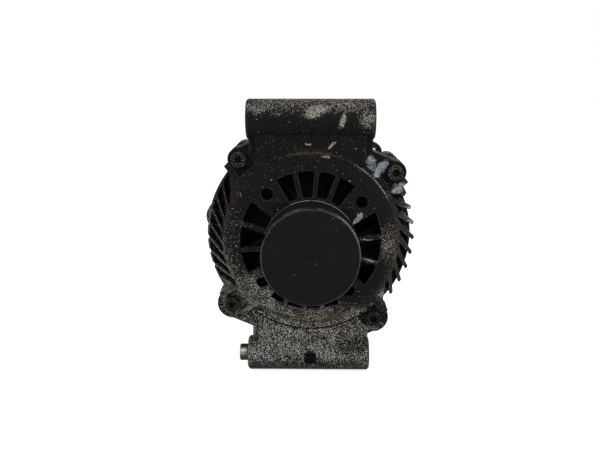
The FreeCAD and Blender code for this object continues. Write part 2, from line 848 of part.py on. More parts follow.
def front_cavity(body):
    """The hollow for the fan and end turns, with the stator seat, bearing pocket and shaft opening."""
    inside_face = "face_wall - ring_rise"
    hollow = [
        (f"-boss_reach - {PAST}", "0"),
        (f"-boss_reach - {PAST}", "boss_opening"),
        (FRONT_BEARING_START, "boss_opening"),
        (FRONT_BEARING_START, "front_bearing_outer / 2"),
        (FRONT_BEARING_END, "front_bearing_outer / 2"),
        (FRONT_BEARING_END, "boss_radius - boss_chamfer"),
        (inside_face, "boss_radius"),
        (inside_face, "window_outer"),
        ("face_wall - boss_chamfer", "crease_radius - ring_round / 2"),
        ("shoulder_wall", "cavity_radius"),
        (STATOR_START, "cavity_radius"),
        (STATOR_START, "core_radius"),
        (f"rim_back + {PAST}", "core_radius"),
        (f"rim_back + {PAST}", "0"),
    ]
    turned(body, "hollow", [hollow], remove=True)


def retainer_bosses(body):
    """Four screw bosses on the wide spokes, with blind holes from inside."""
    bosses = ring_of_circles("retainer_screw_circle", BOLT_ANGLES, "retainer_boss / 2")
    along(body, "screw_bosses", bosses, "-retainer_boss_front", FRONT_BEARING_END)
    holes = ring_of_circles("retainer_screw_circle", BOLT_ANGLES, "retainer_screw / 2")
    floor = "retainer_hole_floor - retainer_boss_front"
    along(body, "screw_holes", holes, floor, f"{FRONT_BEARING_END} + {PAST}", remove=True)


def window_outline(pitch):
    """A window between two ribs whose sides run parallel."""
    inner = f"(window_rib * {DEGREES} / window_inner / 2)"
    outer = f"(window_rib * {DEGREES} / window_outer / 2)"
    return [
        polar("window_inner", inner),
        polar("window_outer", outer),
        (*polar("window_outer", f"{pitch} - {outer}"), "window_outer"),
        polar("window_inner", f"{pitch} - {inner}"),
    ]


def front_windows(body):
    """Windows between the wide spokes, parted by thin ribs, and a round hole in each wide spoke."""
    groups = (
        ("upper_right_angle", "upper_left_angle", 4, "0"),
        ("upper_left_angle", "lower_left_angle", 3, "0"),
        ("lower_left_angle", "lower_right_angle", 4, "0"),
        ("lower_right_angle", "upper_right_angle", 3, "360"),
    )
    openings = []
    for start, stop, count, wrap in groups:
        pitch = f"(({stop} + {wrap} - {start} - 2 * spoke_half_angle) / {count})"
        for index in range(count):
            turn = f"({start} + spoke_half_angle + {index} * {pitch})"
            openings.append(rotated(window_outline(pitch), turn))
    openings += ring_of_circles("spoke_hole_circle", BOLT_ANGLES, "spoke_hole / 2")
    along(body, "windows", openings, "-boss_reach", "face_wall", remove=True)


def make_front_bracket():
    """Cast front bracket with its two mounting barrels."""
    body = new_body("front_bracket")
    front_shell(body)
    bolt_lugs(body)
    neck_webs(body)
    rim_lobe(body)
    mounting_barrels(body)
    fin_gaps(body)
    bolt_pockets(body)
    front_cavity(body)
    retainer_bosses(body)
    front_windows(body)
    mounting_bores(body)


def make_rear_bracket():
    """Cast rear bracket: a bowl with vents, four threaded lugs, a bearing hub and rectifier pads."""
    body = new_body("rear_bracket")
    start = f"({STATOR_END} - seat_depth)"
    seat_end = f"({STATOR_END} + rear_seat_back)"
    outline = [
        (start, "0"),
        (start, "rim_radius"),
        (seat_end, "rim_radius"),
        (f"{REAR_INSIDE} - rear_round_depth", "rear_side_inner + rear_side_wall"),
        (REAR_FACE, "rear_face_radius", "-rear_round"),
        (REAR_FACE, "rear_hub_radius + boss_chamfer"),
        (REAR_HUB_END, "rear_hub_radius"),
        (REAR_HUB_END, "0"),
    ]
    turned(body, "bowl", [outline])
    lugs = [rotated(lug_end("rear_lug_round", "core_radius"), angle) for angle in BOLT_ANGLES]
    along(body, "lugs", lugs, start, f"{start} + rear_lug_length")
    ear = (*polar("ear_circle", "ear_angle"), "ear_round")
    along(body, "ear", [ear], start, seat_end)
    pocket_radius = "(rear_bearing_outer / 2 + sleeve_wall)"
    inside = [
        (f"{start} - {PAST}", "0"),
        (f"{start} - {PAST}", "core_radius"),
        (STATOR_END, "core_radius"),
        (STATOR_END, "rear_side_inner"),
        (f"{REAR_INSIDE} - rear_round_depth", "rear_side_inner"),
        (REAR_INSIDE, "rear_face_radius - rear_wall", "-(rear_round - rear_wall)"),
        (REAR_INSIDE, "rear_hub_radius + boss_chamfer"),
        (REAR_BEARING_START, "rear_hub_radius"),
        (REAR_BEARING_START, pocket_radius),
        (REAR_BEARING_END, pocket_radius),
        (REAR_BEARING_END, "rear_hub_opening"),
        (f"{REAR_HUB_END} + {PAST}", "rear_hub_opening"),
        (f"{REAR_HUB_END} + {PAST}", "0"),
    ]
    turned(body, "hollow", [inside], remove=True)
    pitch = "(360 / rear_window_count)"
    rib = f"(rear_rib * {DEGREES} / rear_window_outer / 2)"
    window = sector("rear_window_inner", "rear_window_outer", rib, f"{pitch} - {rib}")
    first = through(body, "window", [window], f"{REAR_INSIDE} - rear_wall", REAR_FACE)
    repeat(body, "windows", [first], "rear_window_count", pitch)
    half_gap = "rear_gap_width / 2"
    gap_end = "rim_radius + rear_gap_past"
    gap = box("rear_side_inner - rear_side_wall / 2", gap_end, f"-{half_gap}", half_gap)
    gaps = []
    for place, kind in (("right", "side"), ("upper", "end"), ("left", "side"), ("lower", "end")):
        for index in range(SIZES[f"{kind}_gap_count"]):
            gaps.append(rotated(gap, f"({place}_gap_start + {index} * {kind}_gap_pitch)"))
    gap_start = f"({seat_end} + rear_gap_land)"
    along(body, "side_gaps", gaps, gap_start, f"{gap_start} + rear_gap_depth", remove=True)
    holes = ring_of_circles("bolt_circle", BOLT_ANGLES, "bolt_size / 2")
    holes.append((*polar("ear_circle", "ear_angle"), "ear_hole / 2"))
    through(body, "bolt_threads", holes, start, f"{start} + rear_lug_length")
    pads = ring_of_circles("stud_circle", STUD_ANGLES, "pad_radius")
    along(body, "rectifier_pads", pads, REAR_INSIDE, NEGATIVE_START)
    threads = ring_of_circles("stud_circle", STUD_ANGLES, "stud_radius")
    through(body, "stud_threads", threads, REAR_INSIDE, NEGATIVE_START)


def make_through_bolts():
    """Four long bolts with round socket heads."""
    body = new_body("through_bolts")
    shank_end = f"{STATOR_END} - seat_depth + rear_lug_length - bolt_thread_room"
    shanks = ring_of_circles("bolt_circle", BOLT_ANGLES, "bolt_size / 2")
    along(body, "shanks", shanks, "lug_floor", shank_end)
    head_front = "lug_floor - bolt_head_height"
    heads = ring_of_circles("bolt_circle", BOLT_ANGLES, "bolt_head / 2")
    along(body, "heads", heads, head_front, "lug_floor")
    sockets = [hexagon(*polar("bolt_circle", angle), "bolt_socket") for angle in BOLT_ANGLES]
    along(body, "sockets", sockets, f"{head_front} - {PAST}", f"{head_front} + socket_depth", remove=True)


def make_mounting_bush():
    """Steel bush that slides in the lower barrel and stands out of its left end."""
    body = new_body("mounting_bush")
    left = "-(lower_left + bush_stand)"
    right = f"{left} + bush_length"
    tube = [
        (left, "bush_inner / 2"),
        (left, "bush_outer / 2 - bush_chamfer"),
        (f"{left} + bush_chamfer", "bush_outer / 2"),
        (f"{right} - bush_chamfer", "bush_outer / 2"),
        (right, "bush_outer / 2 - bush_chamfer"),
        (right, "bush_inner / 2"),
    ]
    turned_across(body, "tube", [tube], "bore_setback", "-shaft_rise")


def make_stator_core():
    """Laminated ring with slots open to the bore."""
    body = new_body("stator_core")
    rings = [("0", "0", "core_radius"), ("0", "0", "core_bore")]
    along(body, "stack", rings, STATOR_START, STATOR_END)
    slot = [
        (f"core_bore - {PAST}", "-slot_mouth_half"),
        ("core_bore + slot_lip", "-slot_mouth_half"),
        ("core_bore + slot_lip", "-slot_half"),
        ("slot_bottom", "-slot_half"),
        ("slot_bottom", "slot_half"),
        ("core_bore + slot_lip", "slot_half"),
        ("core_bore + slot_lip", "slot_mouth_half"),
        (f"core_bore - {PAST}", "slot_mouth_half"),
    ]
    first = through(body, "slot", [slot], STATOR_START, STATOR_END)
    repeat(body, "slots", [first], "slot_count", "360 / slot_count")


def make_stator_winding():
    """Copper winding: bars in the slots and a ring of end turns at both ends."""
    body = new_body("stator_winding")
    front_near = f"({STATOR_START} - winding_lift)"
    front_far = f"({STATOR_START} - winding_reach)"
    rear_near = f"({STATOR_END} + winding_lift)"
    rear_far = f"({STATOR_END} + winding_reach)"
    front = [
        (front_near, "winding_inner"),
        (f"{front_far} + winding_round", "winding_inner"),
        (front_far, "winding_inner + winding_round", "-winding_round"),
        (front_far, "winding_outer - winding_round"),
        (f"{front_far} + winding_round", "winding_outer", "-winding_round"),
        (front_near, "winding_outer"),
    ]
    turned(body, "front_turns", [front])
    rear = [
        (rear_near, "winding_inner"),
        (f"{rear_far} - winding_round", "winding_inner"),
        (rear_far, "winding_inner + winding_round", "winding_round"),
        (rear_far, "winding_outer - winding_round"),
        (f"{rear_far} - winding_round", "winding_outer", "winding_round"),
        (rear_near, "winding_outer"),
    ]
    bar_half = "(slot_half - winding_play)"
    bar = box("winding_inner + bar_inset", "slot_bottom - winding_play", f"-{bar_half}", bar_half)
    first = along(body, "bar", [bar], f"{front_near} - bar_inset", f"{rear_near} + bar_inset")
    repeat(body, "bars", [first], "slot_count", "360 / slot_count")
    turned(body, "rear_turns", [rear])


def make_bearing(prefix, start):
    """A deep-groove ball bearing: two races, balls, cage and two seals."""
    pitch, inner_land, outer_land = bearing_ring_radii(prefix)
    end = f"({start} + {prefix}_bearing_width)"
    middle = f"({start} + {prefix}_bearing_width / 2)"
    groove = f"({prefix}_ball / 2 + race_play)"
    half_chord = f"sqrt({groove}^2 - ({pitch} - {inner_land})^2)"
    inner = new_body(f"{prefix}_bearing_inner_race")
    outline = [
        (start, f"{prefix}_bearing_bore / 2"),
        (start, inner_land),
        (f"{middle} - {half_chord}", inner_land),
        (f"{middle} + {half_chord}", inner_land, groove),
        (end, inner_land),
        (end, f"{prefix}_bearing_bore / 2"),
    ]
    turned(inner, "race", [outline])
    outer = new_body(f"{prefix}_bearing_outer_race")
    outline = [
        (start, f"{prefix}_bearing_outer / 2"),
        (start, outer_land),
        (f"{middle} - {half_chord}", outer_land),
        (f"{middle} + {half_chord}", outer_land, f"-{groove}"),
        (end, outer_land),
        (end, f"{prefix}_bearing_outer / 2"),
    ]
    turned(outer, "race", [outline])
    balls = new_body(f"{prefix}_bearing_balls")
    radius = f"{prefix}_ball / 2"
    half_disc = [(f"-{radius}", "0"), ("0", radius, f"-({radius})"), (radius, "0", f"-({radius})")]
    ball = turned(balls, "ball", [half_disc], shift=(middle, pitch, "0"))
    repeat(balls, "balls", [ball], f"{prefix}_ball_count", f"360 / {prefix}_ball_count")
    cage = new_body(f"{prefix}_bearing_cage")
    reach = f"({radius} + cage_side)"
    edges = (f"{pitch} - cage_thick / 2", f"{pitch} + cage_thick / 2")
    band = box(f"{middle} - {reach}", f"{middle} + {reach}", *edges)
    turned(cage, "band", [band])
    room = f"({radius} + race_play)"
    window = [(f"-{room}", "0"), ("0", room, f"-({room})"), (room, "0", f"-({room})")]
    pocket = turned(cage, "pocket", [window], remove=True, shift=(middle, pitch, "0"))
    repeat(cage, "pockets", [pocket], f"{prefix}_ball_count", f"360 / {prefix}_ball_count")
    seals = new_body(f"{prefix}_bearing_seals")
    low = f"{inner_land} + seal_play"
    for name, near in (("front", f"({start} + seal_inset)"), ("rear", f"({end} - seal_inset - seal_thick)")):
        turned(seals, f"{name}_seal", [box(near, f"{near} + seal_thick", low, outer_land)])


def make_retainer():
    """Plate that holds the front bearing, with four ears and screws."""
    body = new_body("bearing_retainer")
    plate_end = f"{FRONT_BEARING_END} + retainer_thick"
    disc = [("0", "0", "front_bearing_outer / 2 + retainer_rim")]
    along(body, "plate", disc, FRONT_BEARING_END, plate_end)
    ears = ring_of_circles("retainer_screw_circle", BOLT_ANGLES, "retainer_ear / 2")
    along(body, "ears", ears, FRONT_BEARING_END, plate_end)
    holes = ring_of_circles("retainer_screw_circle", BOLT_ANGLES, "retainer_screw / 2")
    holes.append(("0", "0", "retainer_inner"))
    through(body, "holes", holes, FRONT_BEARING_END, plate_end)
    screws = new_body("retainer_screws")
    shanks = ring_of_circles("retainer_screw_circle", BOLT_ANGLES, "retainer_screw / 2")
    tip = "retainer_hole_floor + retainer_screw_room - retainer_boss_front"
    along(screws, "shanks", shanks, tip, plate_end)
    heads = ring_of_circles("retainer_screw_circle", BOLT_ANGLES, "retainer_head / 2")
    along(screws, "heads", heads, plate_end, f"{plate_end} + retainer_head_height")


def make_rear_sleeve():
    """Plastic sleeve between the rear bearing and its hub."""
    body = new_body("rear_bearing_sleeve")
    outer = "rear_bearing_outer / 2"
    turned(body, "sleeve", [box(REAR_BEARING_START, REAR_BEARING_END, outer, f"{outer} + sleeve_wall")])


def make_shaft():
    """Rotor shaft, stepped for the pulley, the bearings, the poles and the slip rings."""
    body = new_body("rotor_shaft")
    rear_shoulder = "rear_bearing_bore / 2 + shoulder_height"
    sleeve_start = f"{SLIP_START} - slip_sleeve_lip"
    outline = [
        ("shaft_front", "0"),
        ("shaft_front", "thread_radius - shaft_chamfer"),
        ("shaft_front + shaft_chamfer", "thread_radius"),
        (HUB_END, "thread_radius"),
        (HUB_END, "front_bearing_bore / 2"),
        (FRONT_BEARING_END, "front_bearing_bore / 2"),
        (FRONT_BEARING_END, "shaft_collar"),
        (f"{FRONT_BEARING_END} + collar_width", "shaft_collar"),
        (f"{FRONT_BEARING_END} + collar_width", "core_shaft"),
        (f"{REAR_BEARING_START} - shoulder_width", "core_shaft"),
        (f"{REAR_BEARING_START} - shoulder_width", rear_shoulder),
        (REAR_BEARING_START, rear_shoulder),
        (REAR_BEARING_START, "rear_bearing_bore / 2"),
        (sleeve_start, "rear_bearing_bore / 2"),
        (sleeve_start, "ring_shaft"),
        (f"{SLIP_END} + shaft_tail", "ring_shaft"),
        (f"{SLIP_END} + shaft_tail", "0"),
    ]
    turned(body, "shaft", [outline])


def make_spacer():
    """Ring between the front bearing's inner race and the pulley hub."""
    body = new_body("shaft_spacer")
    inner = "front_bearing_bore / 2"
    turned(body, "ring", [box(HUB_END, FRONT_BEARING_START, inner, f"{inner} + spacer_wall")])


def make_pole(label, side, turn):
    """One claw pole: disc, half of the core and its fingers, facing towards the rotor's middle."""
    body = new_body(label)

    def station(distance):
        return f"({ROTOR_MIDDLE} {'-' if side < 0 else '+'} ({distance}))"

    def ordered(first, second):
        return (station(first), station(second)) if side < 0 else (station(second), station(first))

    outer_face = "pole_length / 2"
    inner_face = "(pole_length / 2 - pole_disc)"
    start, stop = ordered(outer_face, inner_face)
    along(body, "disc", [("0", "0", "pole_disc_radius")], start, stop)
    start, stop = ordered(inner_face, "0")
    along(body, "core", [("0", "0", "pole_core")], start, stop)
    root = sector("pole_core", "pole_radius", f"{turn} - finger_root", f"{turn} + finger_root")
    start, stop = ordered(outer_face, inner_face)
    root_pad = along(body, "finger_root_block", [root], start, stop)
    base = "pole_radius - finger_thick"
    near = sector(base, "pole_radius", f"{turn} - finger_root", f"{turn} + finger_root")
    tip = "pole_radius - finger_tip_thick"
    far = sector(tip, "pole_radius", f"{turn} - finger_tip", f"{turn} + finger_tip")
    tip_end = station("finger_tip_room - pole_length / 2")
    finger = blend(body, "finger", near, station(inner_face), far, tip_end)
    repeat(body, "fingers", [root_pad, finger], "pole_count", "360 / pole_count")
    start, stop = ordered(outer_face, "0")
    through(body, "shaft_hole", [("0", "0", "core_shaft")], start, stop)


def make_field_winding():
    """Field coil on its bobbin between the two pole discs."""
    half = "(pole_length / 2 - pole_disc)"
    bobbin = new_body("coil_bobbin")
    start = f"({ROTOR_MIDDLE} - {half})"
    stop = f"({ROTOR_MIDDLE} + {half})"
    spool = [
        (start, "pole_core"),
        (start, "coil_radius + bobbin_lip"),
        (f"{start} + bobbin_wall", "coil_radius + bobbin_lip"),
        (f"{start} + bobbin_wall", "pole_core + bobbin_wall"),
        (f"{stop} - bobbin_wall", "pole_core + bobbin_wall"),
        (f"{stop} - bobbin_wall", "coil_radius + bobbin_lip"),
        (stop, "coil_radius + bobbin_lip"),
        (stop, "pole_core"),
    ]
    turned(bobbin, "spool", [spool])
    coil = new_body("field_coil")
    wound = box(f"{start} + bobbin_wall", f"{stop} - bobbin_wall", "pole_core + bobbin_wall", "coil_radius")
    turned(coil, "coil", [wound])


def make_fan(label, sheet_start, blade_start):
    """A pressed fan: a flat disc and curved blades on one side of it."""
    body = new_body(label)
    disc = [("0", "0", "fan_radius"), ("0", "0", "core_shaft + fan_hole_play")]
    along(body, "disc", disc, sheet_start, f"{sheet_start} + fan_sheet")
    blade = [
        ("fan_inner", "0"),
        ("fan_radius - blade_tip_inset", "blade_sweep", "blade_curve"),
        ("fan_radius - blade_tip_inset - blade_sheet / 2", "blade_sweep + blade_sheet"),
        ("fan_inner - blade_sheet / 2", "blade_sheet", "-(blade_curve + blade_sheet)"),
    ]
    first = along(body, "blade", [blade], blade_start, f"{blade_start} + fan_height")
    repeat(body, "blades", [first], "fan_blades", "360 / fan_blades")


def make_slip_rings():
    """Insulating sleeve with two copper rings on the shaft's rear end."""
    sleeve = new_body("slip_ring_sleeve")
    inner = "slip_ring_radius - slip_ring_wall"
    start = f"{SLIP_START} - slip_sleeve_lip"
    stop = f"{SLIP_END} + slip_sleeve_lip"
    turned(sleeve, "sleeve", [box(start, stop, "ring_shaft", inner)])
    rings = new_body("slip_rings")
    for name, start in (("first", SLIP_START), ("second", SLIP_SECOND)):
        turned(rings, f"{name}_ring", [box(start, f"{start} + slip_ring_width", inner, "slip_ring_radius")])


def pulley_profile():
    """Half section of the pulley ring with a V groove between each pair of belt ribs."""
    first = f"({PULLEY_END} + pulley_start - belt_ribs * rib_pitch) / 2"
    points = [("pulley_start", "pulley_bore"), ("pulley_start", "pulley_radius")]
    for index in range(SIZES["belt_ribs"]):
        left = f"({first} + {index} * rib_pitch)"
        points.append((f"{left} + rib_flat", "pulley_radius"))
        points.append((f"{left} + rib_pitch / 2", "pulley_radius - rib_depth"))
        points.append((f"{left} + rib_pitch - rib_flat", "pulley_radius"))
    points += [(PULLEY_END, "pulley_radius"), (PULLEY_END, "pulley_bore")]
    return points


def make_pulley():
    """Overrunning pulley: hub on the shaft, grooved ring, roller clutch, end bearings and dust cap."""
    hub = new_body("pulley_hub")
    turned(hub, "hub", [box(HUB_START, HUB_END, "thread_radius", "hub_radius")])
    socket = ("0", "0", "thread_radius + hub_socket_wall")
    along(hub, "tool_socket", [socket], f"{HUB_START} - {PAST}", "shaft_front", remove=True)
    ring = new_body("pulley_ring")
    turned(ring, "ring", [pulley_profile()])
    bearings = new_body("pulley_end_bearings")
    inner = "hub_radius + clutch_play"
    front = f"({HUB_START} + end_bearing_inset)"
    rear = f"({PULLEY_END} - end_bearing_width - end_bearing_inset)"
    for name, start in (("front", front), ("rear", rear)):
        ring = box(start, f"{start} + end_bearing_width", inner, "pulley_bore")
        turned(bearings, f"{name}_bearing", [ring])
    shell = new_body("clutch_shell")
    shell_start = f"({front} + end_bearing_width)"
    shell_inner = "hub_radius + clutch_play * 2 + roller"
    turned(shell, "shell", [box(shell_start, rear, shell_inner, "pulley_bore")])
    middle = f"(({shell_start} + {rear}) / 2)"
    pitch = "(hub_radius + clutch_play + roller / 2)"
    angles = [f"360 * {index} / roller_count" for index in range(SIZES["roller_count"])]
    rollers = new_body("clutch_rollers")
    half = "roller_length / 2"
    circles = ring_of_circles(pitch, angles, "roller / 2")
    along(rollers, "rollers", circles, f"{middle} - {half}", f"{middle} + {half}")
    cage = new_body("clutch_cage")
    reach = f"({half} + clutch_cage_side)"
    edges = (f"{pitch} - clutch_cage_thick / 2", f"{pitch} + clutch_cage_thick / 2")
    band = box(f"{middle} - {reach}", f"{middle} + {reach}", *edges)
    turned(cage, "band", [band])
    pockets = ring_of_circles(pitch, angles, "roller / 2 + clutch_play")
    room = f"({half} + clutch_cage_play)"
    along(cage, "pockets", pockets, f"{middle} - {room}", f"{middle} + {room}", remove=True)
    cap = new_body("pulley_cap")
    profile = [
        ("pulley_start - cap_thick", "0"),
        ("pulley_start - cap_thick", "cap_radius - cap_edge"),
        ("pulley_start - cap_thick + cap_edge", "cap_radius", "-cap_edge"),
        ("pulley_start", "cap_radius"),
        ("pulley_start", "pulley_bore"),
        ("pulley_start + cap_skirt_depth", "pulley_bore"),
        ("pulley_start + cap_skirt_depth", "pulley_bore - cap_skirt"),
        ("pulley_start", "pulley_bore - cap_skirt"),
        ("pulley_start", "0"),
    ]
    turned(cap, "cap", [profile])
    dimple = ("0", "0", "cap_dimple")
    front_face = "pulley_start - cap_thick"
    along(cap, "dimple", [dimple], f"{front_face} - {PAST}", f"{front_face} + cap_dimple_depth", remove=True)


def horseshoe(inner, outer):
    """The outline shared by the rectifier's plates, open at the top for the brush holder."""
    return sector(inner, outer, "90 + plate_gap_half", "450 - plate_gap_half", pieces=3)


def make_rectifier():
    """Two heat sinks with press-in diodes, the terminal board between them and the studs that hold them."""
    studs = ring_of_circles("stud_circle", STUD_ANGLES, "stud_radius")
    negative = new_body("negative_heat_sink")
    along(negative, "plate", [horseshoe("plate_inner", "plate_outer")], NEGATIVE_START, NEGATIVE_END)
    holes = studs + ring_of_circles("diode_circle", NEGATIVE_DIODE_ANGLES, "diode_radius")
    through(negative, "holes", holes, NEGATIVE_START, NEGATIVE_END)
    positive = new_body("positive_heat_sink")
    along(positive, "plate", [horseshoe("plate_inner", "plate_outer")], POSITIVE_START, POSITIVE_END)
    holes = ring_of_circles("stud_circle", STUD_ANGLES, "stud_radius + stud_clearance")
    holes += ring_of_circles("diode_circle", POSITIVE_DIODE_ANGLES, "diode_radius")
    holes += ring_of_circles("output_circle", ("output_angle",), "output_collar")
    through(positive, "holes", holes, POSITIVE_START, POSITIVE_END)
    board = new_body("terminal_board")
    along(board, "board", [horseshoe("plate_inner", "board_outer")], BOARD_START, BOARD_END)
    holes = studs + ring_of_circles("lead_circle", LEAD_ANGLES, "lead_radius")
    holes += ring_of_circles("diode_circle", NEGATIVE_DIODE_ANGLES + POSITIVE_DIODE_ANGLES, "lead_radius")
    through(board, "holes", holes, BOARD_START, BOARD_END)
    make_diodes("negative_diodes", NEGATIVE_DIODE_ANGLES, NEGATIVE_START, 1)
    make_diodes("positive_diodes", POSITIVE_DIODE_ANGLES, POSITIVE_END, -1)
    leads = new_body("phase_leads")
    wires = ring_of_circles("lead_circle", LEAD_ANGLES, "lead_radius")
    along(leads, "wires", wires, f"{STATOR_END} + winding_reach", f"{BOARD_END} + lead_stand")


def make_diodes(label, angles, base, side):
    """Press-in diodes whose lead ends in the terminal board."""
    body = new_body(label)
    cups = ring_of_circles("diode_circle", angles, "diode_radius")
    wires = ring_of_circles("diode_circle", angles, "lead_radius")
    if side > 0:
        along(body, "cups", cups, f"{base} - diode_stand", f"{base} + plate_thick + diode_shoulder")
        along(body, "wires", wires, f"{base} + plate_thick", BOARD_END)
    else:
        along(body, "cups", cups, f"{base} - plate_thick - diode_shoulder", f"{base} + diode_stand")
        along(body, "wires", wires, BOARD_START, f"{base} - plate_thick")


def make_studs():
    """Three studs through the rectifier, their spacers and nuts, and the nuts of the cover."""
    body = new_body("rectifier_studs")
    studs = ring_of_circles("stud_circle", STUD_ANGLES, "stud_radius")
    along(body, "studs", studs, REAR_INSIDE, f"{COVER_END} + stud_nut_height + stud_stand")
    spacers = new_body("insulating_spacers")
    tube = studs + ring_of_circles("stud_circle", STUD_ANGLES, "stud_radius + spacer_tube_wall")
    along(spacers, "lower", tube, NEGATIVE_END, BOARD_START)
    along(spacers, "upper", tube, BOARD_END, POSITIVE_START)
    nuts = new_body("rectifier_nuts")
    outlines = [hexagon(*polar("stud_circle", angle), "stud_nut") for angle in STUD_ANGLES] + studs
    along(nuts, "nuts", outlines, POSITIVE_END, f"{POSITIVE_END} + stud_nut_height")
    covers = new_body("cover_nuts")
    along(covers, "nuts", outlines, COVER_END, f"{COVER_END} + stud_nut_height")


def make_output():
    """Output stud with its collar, insulator and nut."""
    stud = new_body("output_stud")
    x, z = polar("output_circle", "output_angle")
    insulator_end = f"({COVER_END} + insulator_stand)"
    end = f"({insulator_end} + output_stand)"
    nut_end = f"({insulator_end} + output_nut_height)"
    along(stud, "shank", [(x, z, "output_shank")], POSITIVE_START, nut_end)
    along(stud, "thread", [(x, z, "output_radius")], nut_end, end)
    along(stud, "collar", [(x, z, "output_collar")], POSITIVE_START, POSITIVE_END)
    insulator = new_body("stud_insulator")
    tube = [(x, z, "output_shank"), (x, z, "output_radius + insulator_wall")]
    along(insulator, "tube", tube, POSITIVE_END, insulator_end)
    nut = new_body("output_nut")
    outline = [hexagon(x, z, "output_nut"), (x, z, "output_shank")]
    along(nut, "nut", outline, insulator_end, nut_end)


def make_brush_gear():
    """Brush holder with two brushes and springs, and the regulator with its plug socket."""
    brush_bottom = "slip_ring_radius"
    brush_top = f"({brush_bottom} + brush_length)"
    spring_top = f"({brush_top} + spring_length)"
    start = f"({REAR_HUB_END} + holder_front_room)"
    stop = f"({SLIP_END} + holder_rear_reach)"
    holder = new_body("brush_holder")
    body_outline = box("-holder_half_width", "holder_half_width", "holder_bottom", "holder_top")
    along(holder, "block", [body_outline], start, stop)
    half_x = "(brush_width / 2 + brush_play)"
    half_y = "(brush_thick / 2 + brush_play)"
    middles = (f"({SLIP_START} + slip_ring_width / 2)", f"({SLIP_SECOND} + slip_ring_width / 2)")
    wells = [box(f"-{half_x}", half_x, f"{middle} - {half_y}", f"{middle} + {half_y}") for middle in middles]
    upward(holder, "wells", wells, f"holder_bottom - {PAST}", spring_top, remove=True)
    for name, middle in zip(("inner", "outer"), middles):
        brush = new_body(f"{name}_brush")
        near, far = f"{middle} - brush_thick / 2", f"{middle} + brush_thick / 2"
        block = box("-brush_width / 2", "brush_width / 2", near, far)
        upward(brush, "carbon", [block], brush_bottom, brush_top)
        spring = new_body(f"{name}_brush_spring")
        wire = [("0", middle, "spring_radius"), ("0", middle, "spring_radius - spring_wall")]
        upward(spring, "coil", wire, brush_top, spring_top)
    regulator = new_body("regulator")
    case = box("-regulator_half_width", "regulator_half_width", "holder_top", "regulator_top")
    case_start = f"({REAR_FACE} + regulator_room)"
    case_end = f"({case_start} + regulator_depth)"
    along(regulator, "case", [case], case_start, case_end)
    socket_low = "(regulator_top - socket_inset - socket_height)"
    socket_high = "(regulator_top - socket_inset)"
    socket_end = f"({COVER_END} + socket_stand)"
    mouth = box("-socket_half_width", "socket_half_width", socket_low, socket_high)
    along(regulator, "socket", [mouth], case_end, socket_end)
    hollow = box(
        "socket_wall - socket_half_width",
        "socket_half_width - socket_wall",
        f"{socket_low} + socket_wall",
        f"{socket_high} - socket_wall",
    )
    hollow_start = f"{case_end} + socket_floor"
    along(regulator, "socket_hollow", [hollow], hollow_start, f"{socket_end} + {PAST}", remove=True)
    pins = new_body("socket_pins")
    height = f"(({socket_low} + {socket_high}) / 2)"
    places = [(f"pin_spacing * {index}", height, "pin_radius") for index in (-1, 0, 1)]
    along(pins, "pins", places, f"{case_end} + socket_floor", f"{socket_end} - pin_setback")


def make_cover():
    """Plastic rear cover with vents and openings for the stud and the socket."""
    body = new_body("rear_cover")
    inner = "cover_radius - cover_wall"
    outline = [
        (f"{REAR_FACE} + cover_stand", inner),
        (f"{REAR_FACE} + cover_stand", "cover_radius"),
        (f"{COVER_END} - cover_round", "cover_radius"),
        (COVER_END, "cover_radius - cover_round", "-cover_round"),
        (COVER_END, "0"),
        (f"{COVER_END} - cover_wall", "0"),
        (f"{COVER_END} - cover_wall", "cover_radius - cover_round"),
        (f"{COVER_END} - cover_round", inner, "cover_round - cover_wall"),
    ]
    turned(body, "shell", [outline])
    slot = box("vent_inner", "vent_outer", "-vent_width / 2", "vent_width / 2")
    slots = []
    for side in ("left", "lower"):
        for index in range(SIZES[f"{side}_vent_count"]):
            slots.append(rotated(slot, f"({side}_vent_angle + {index} * vent_pitch)"))
    through(body, "vents", slots, f"{COVER_END} - cover_wall", COVER_END)
    x, z = polar("output_circle", "output_angle")
    holes = ring_of_circles("stud_circle", STUD_ANGLES, "stud_radius + cover_play")
    holes.append((x, z, "output_radius + insulator_wall + cover_play"))
    half_width = "(socket_half_width + cover_play)"
    high = "(regulator_top - socket_inset + cover_play)"
    holes.append(box(f"-{half_width}", half_width, f"{high} - socket_height - 2 * cover_play", high))
    through(body, "openings", holes, f"{COVER_END} - cover_wall", COVER_END)


def build():
    """Make every piece."""
    make_front_bracket()
    make_rear_bracket()
    make_through_bolts()
    make_mounting_bush()
    make_stator_core()
    make_stator_winding()
    make_bearing("front", FRONT_BEARING_START)
    make_bearing("rear", REAR_BEARING_START)
    make_retainer()
    make_rear_sleeve()
    make_shaft()
    make_spacer()
    make_pole("front_claw_pole", -1, "0")
    make_pole("rear_claw_pole", 1, "180 / pole_count")
    make_field_winding()
    make_fan("front_fan", f"({POLE_START} - fan_sheet)", f"({POLE_START} - fan_height)")
    make_fan("rear_fan", POLE_END, POLE_END)
    make_slip_rings()
    make_pulley()
    make_rectifier()
    make_studs()
    make_output()
    make_brush_gear()
    make_cover()


def check():
    """Stop if any object failed or any piece isn't a valid solid."""
    bad_states = {"Invalid", "Error"}
    failed = [f"{item.Name} {item.State}" for item in document.Objects if bad_states & set(item.State)]
    broken = [body.Label for body in BODIES if body.Shape.isNull() or not body.Shape.isValid()]
    if failed or broken:
        raise RuntimeError(f"failed objects: {failed}; broken pieces: {broken}")


def export():
    """Write each piece to its own file."""
    os.makedirs("parts", exist_ok=True)
    for body in BODIES:
        body.Shape.exportStep(f"parts/{body.Label}.step")
    print(f"{len(BODIES)} pieces")


fill_sheet()
build()
document.recompute()
check()
export()
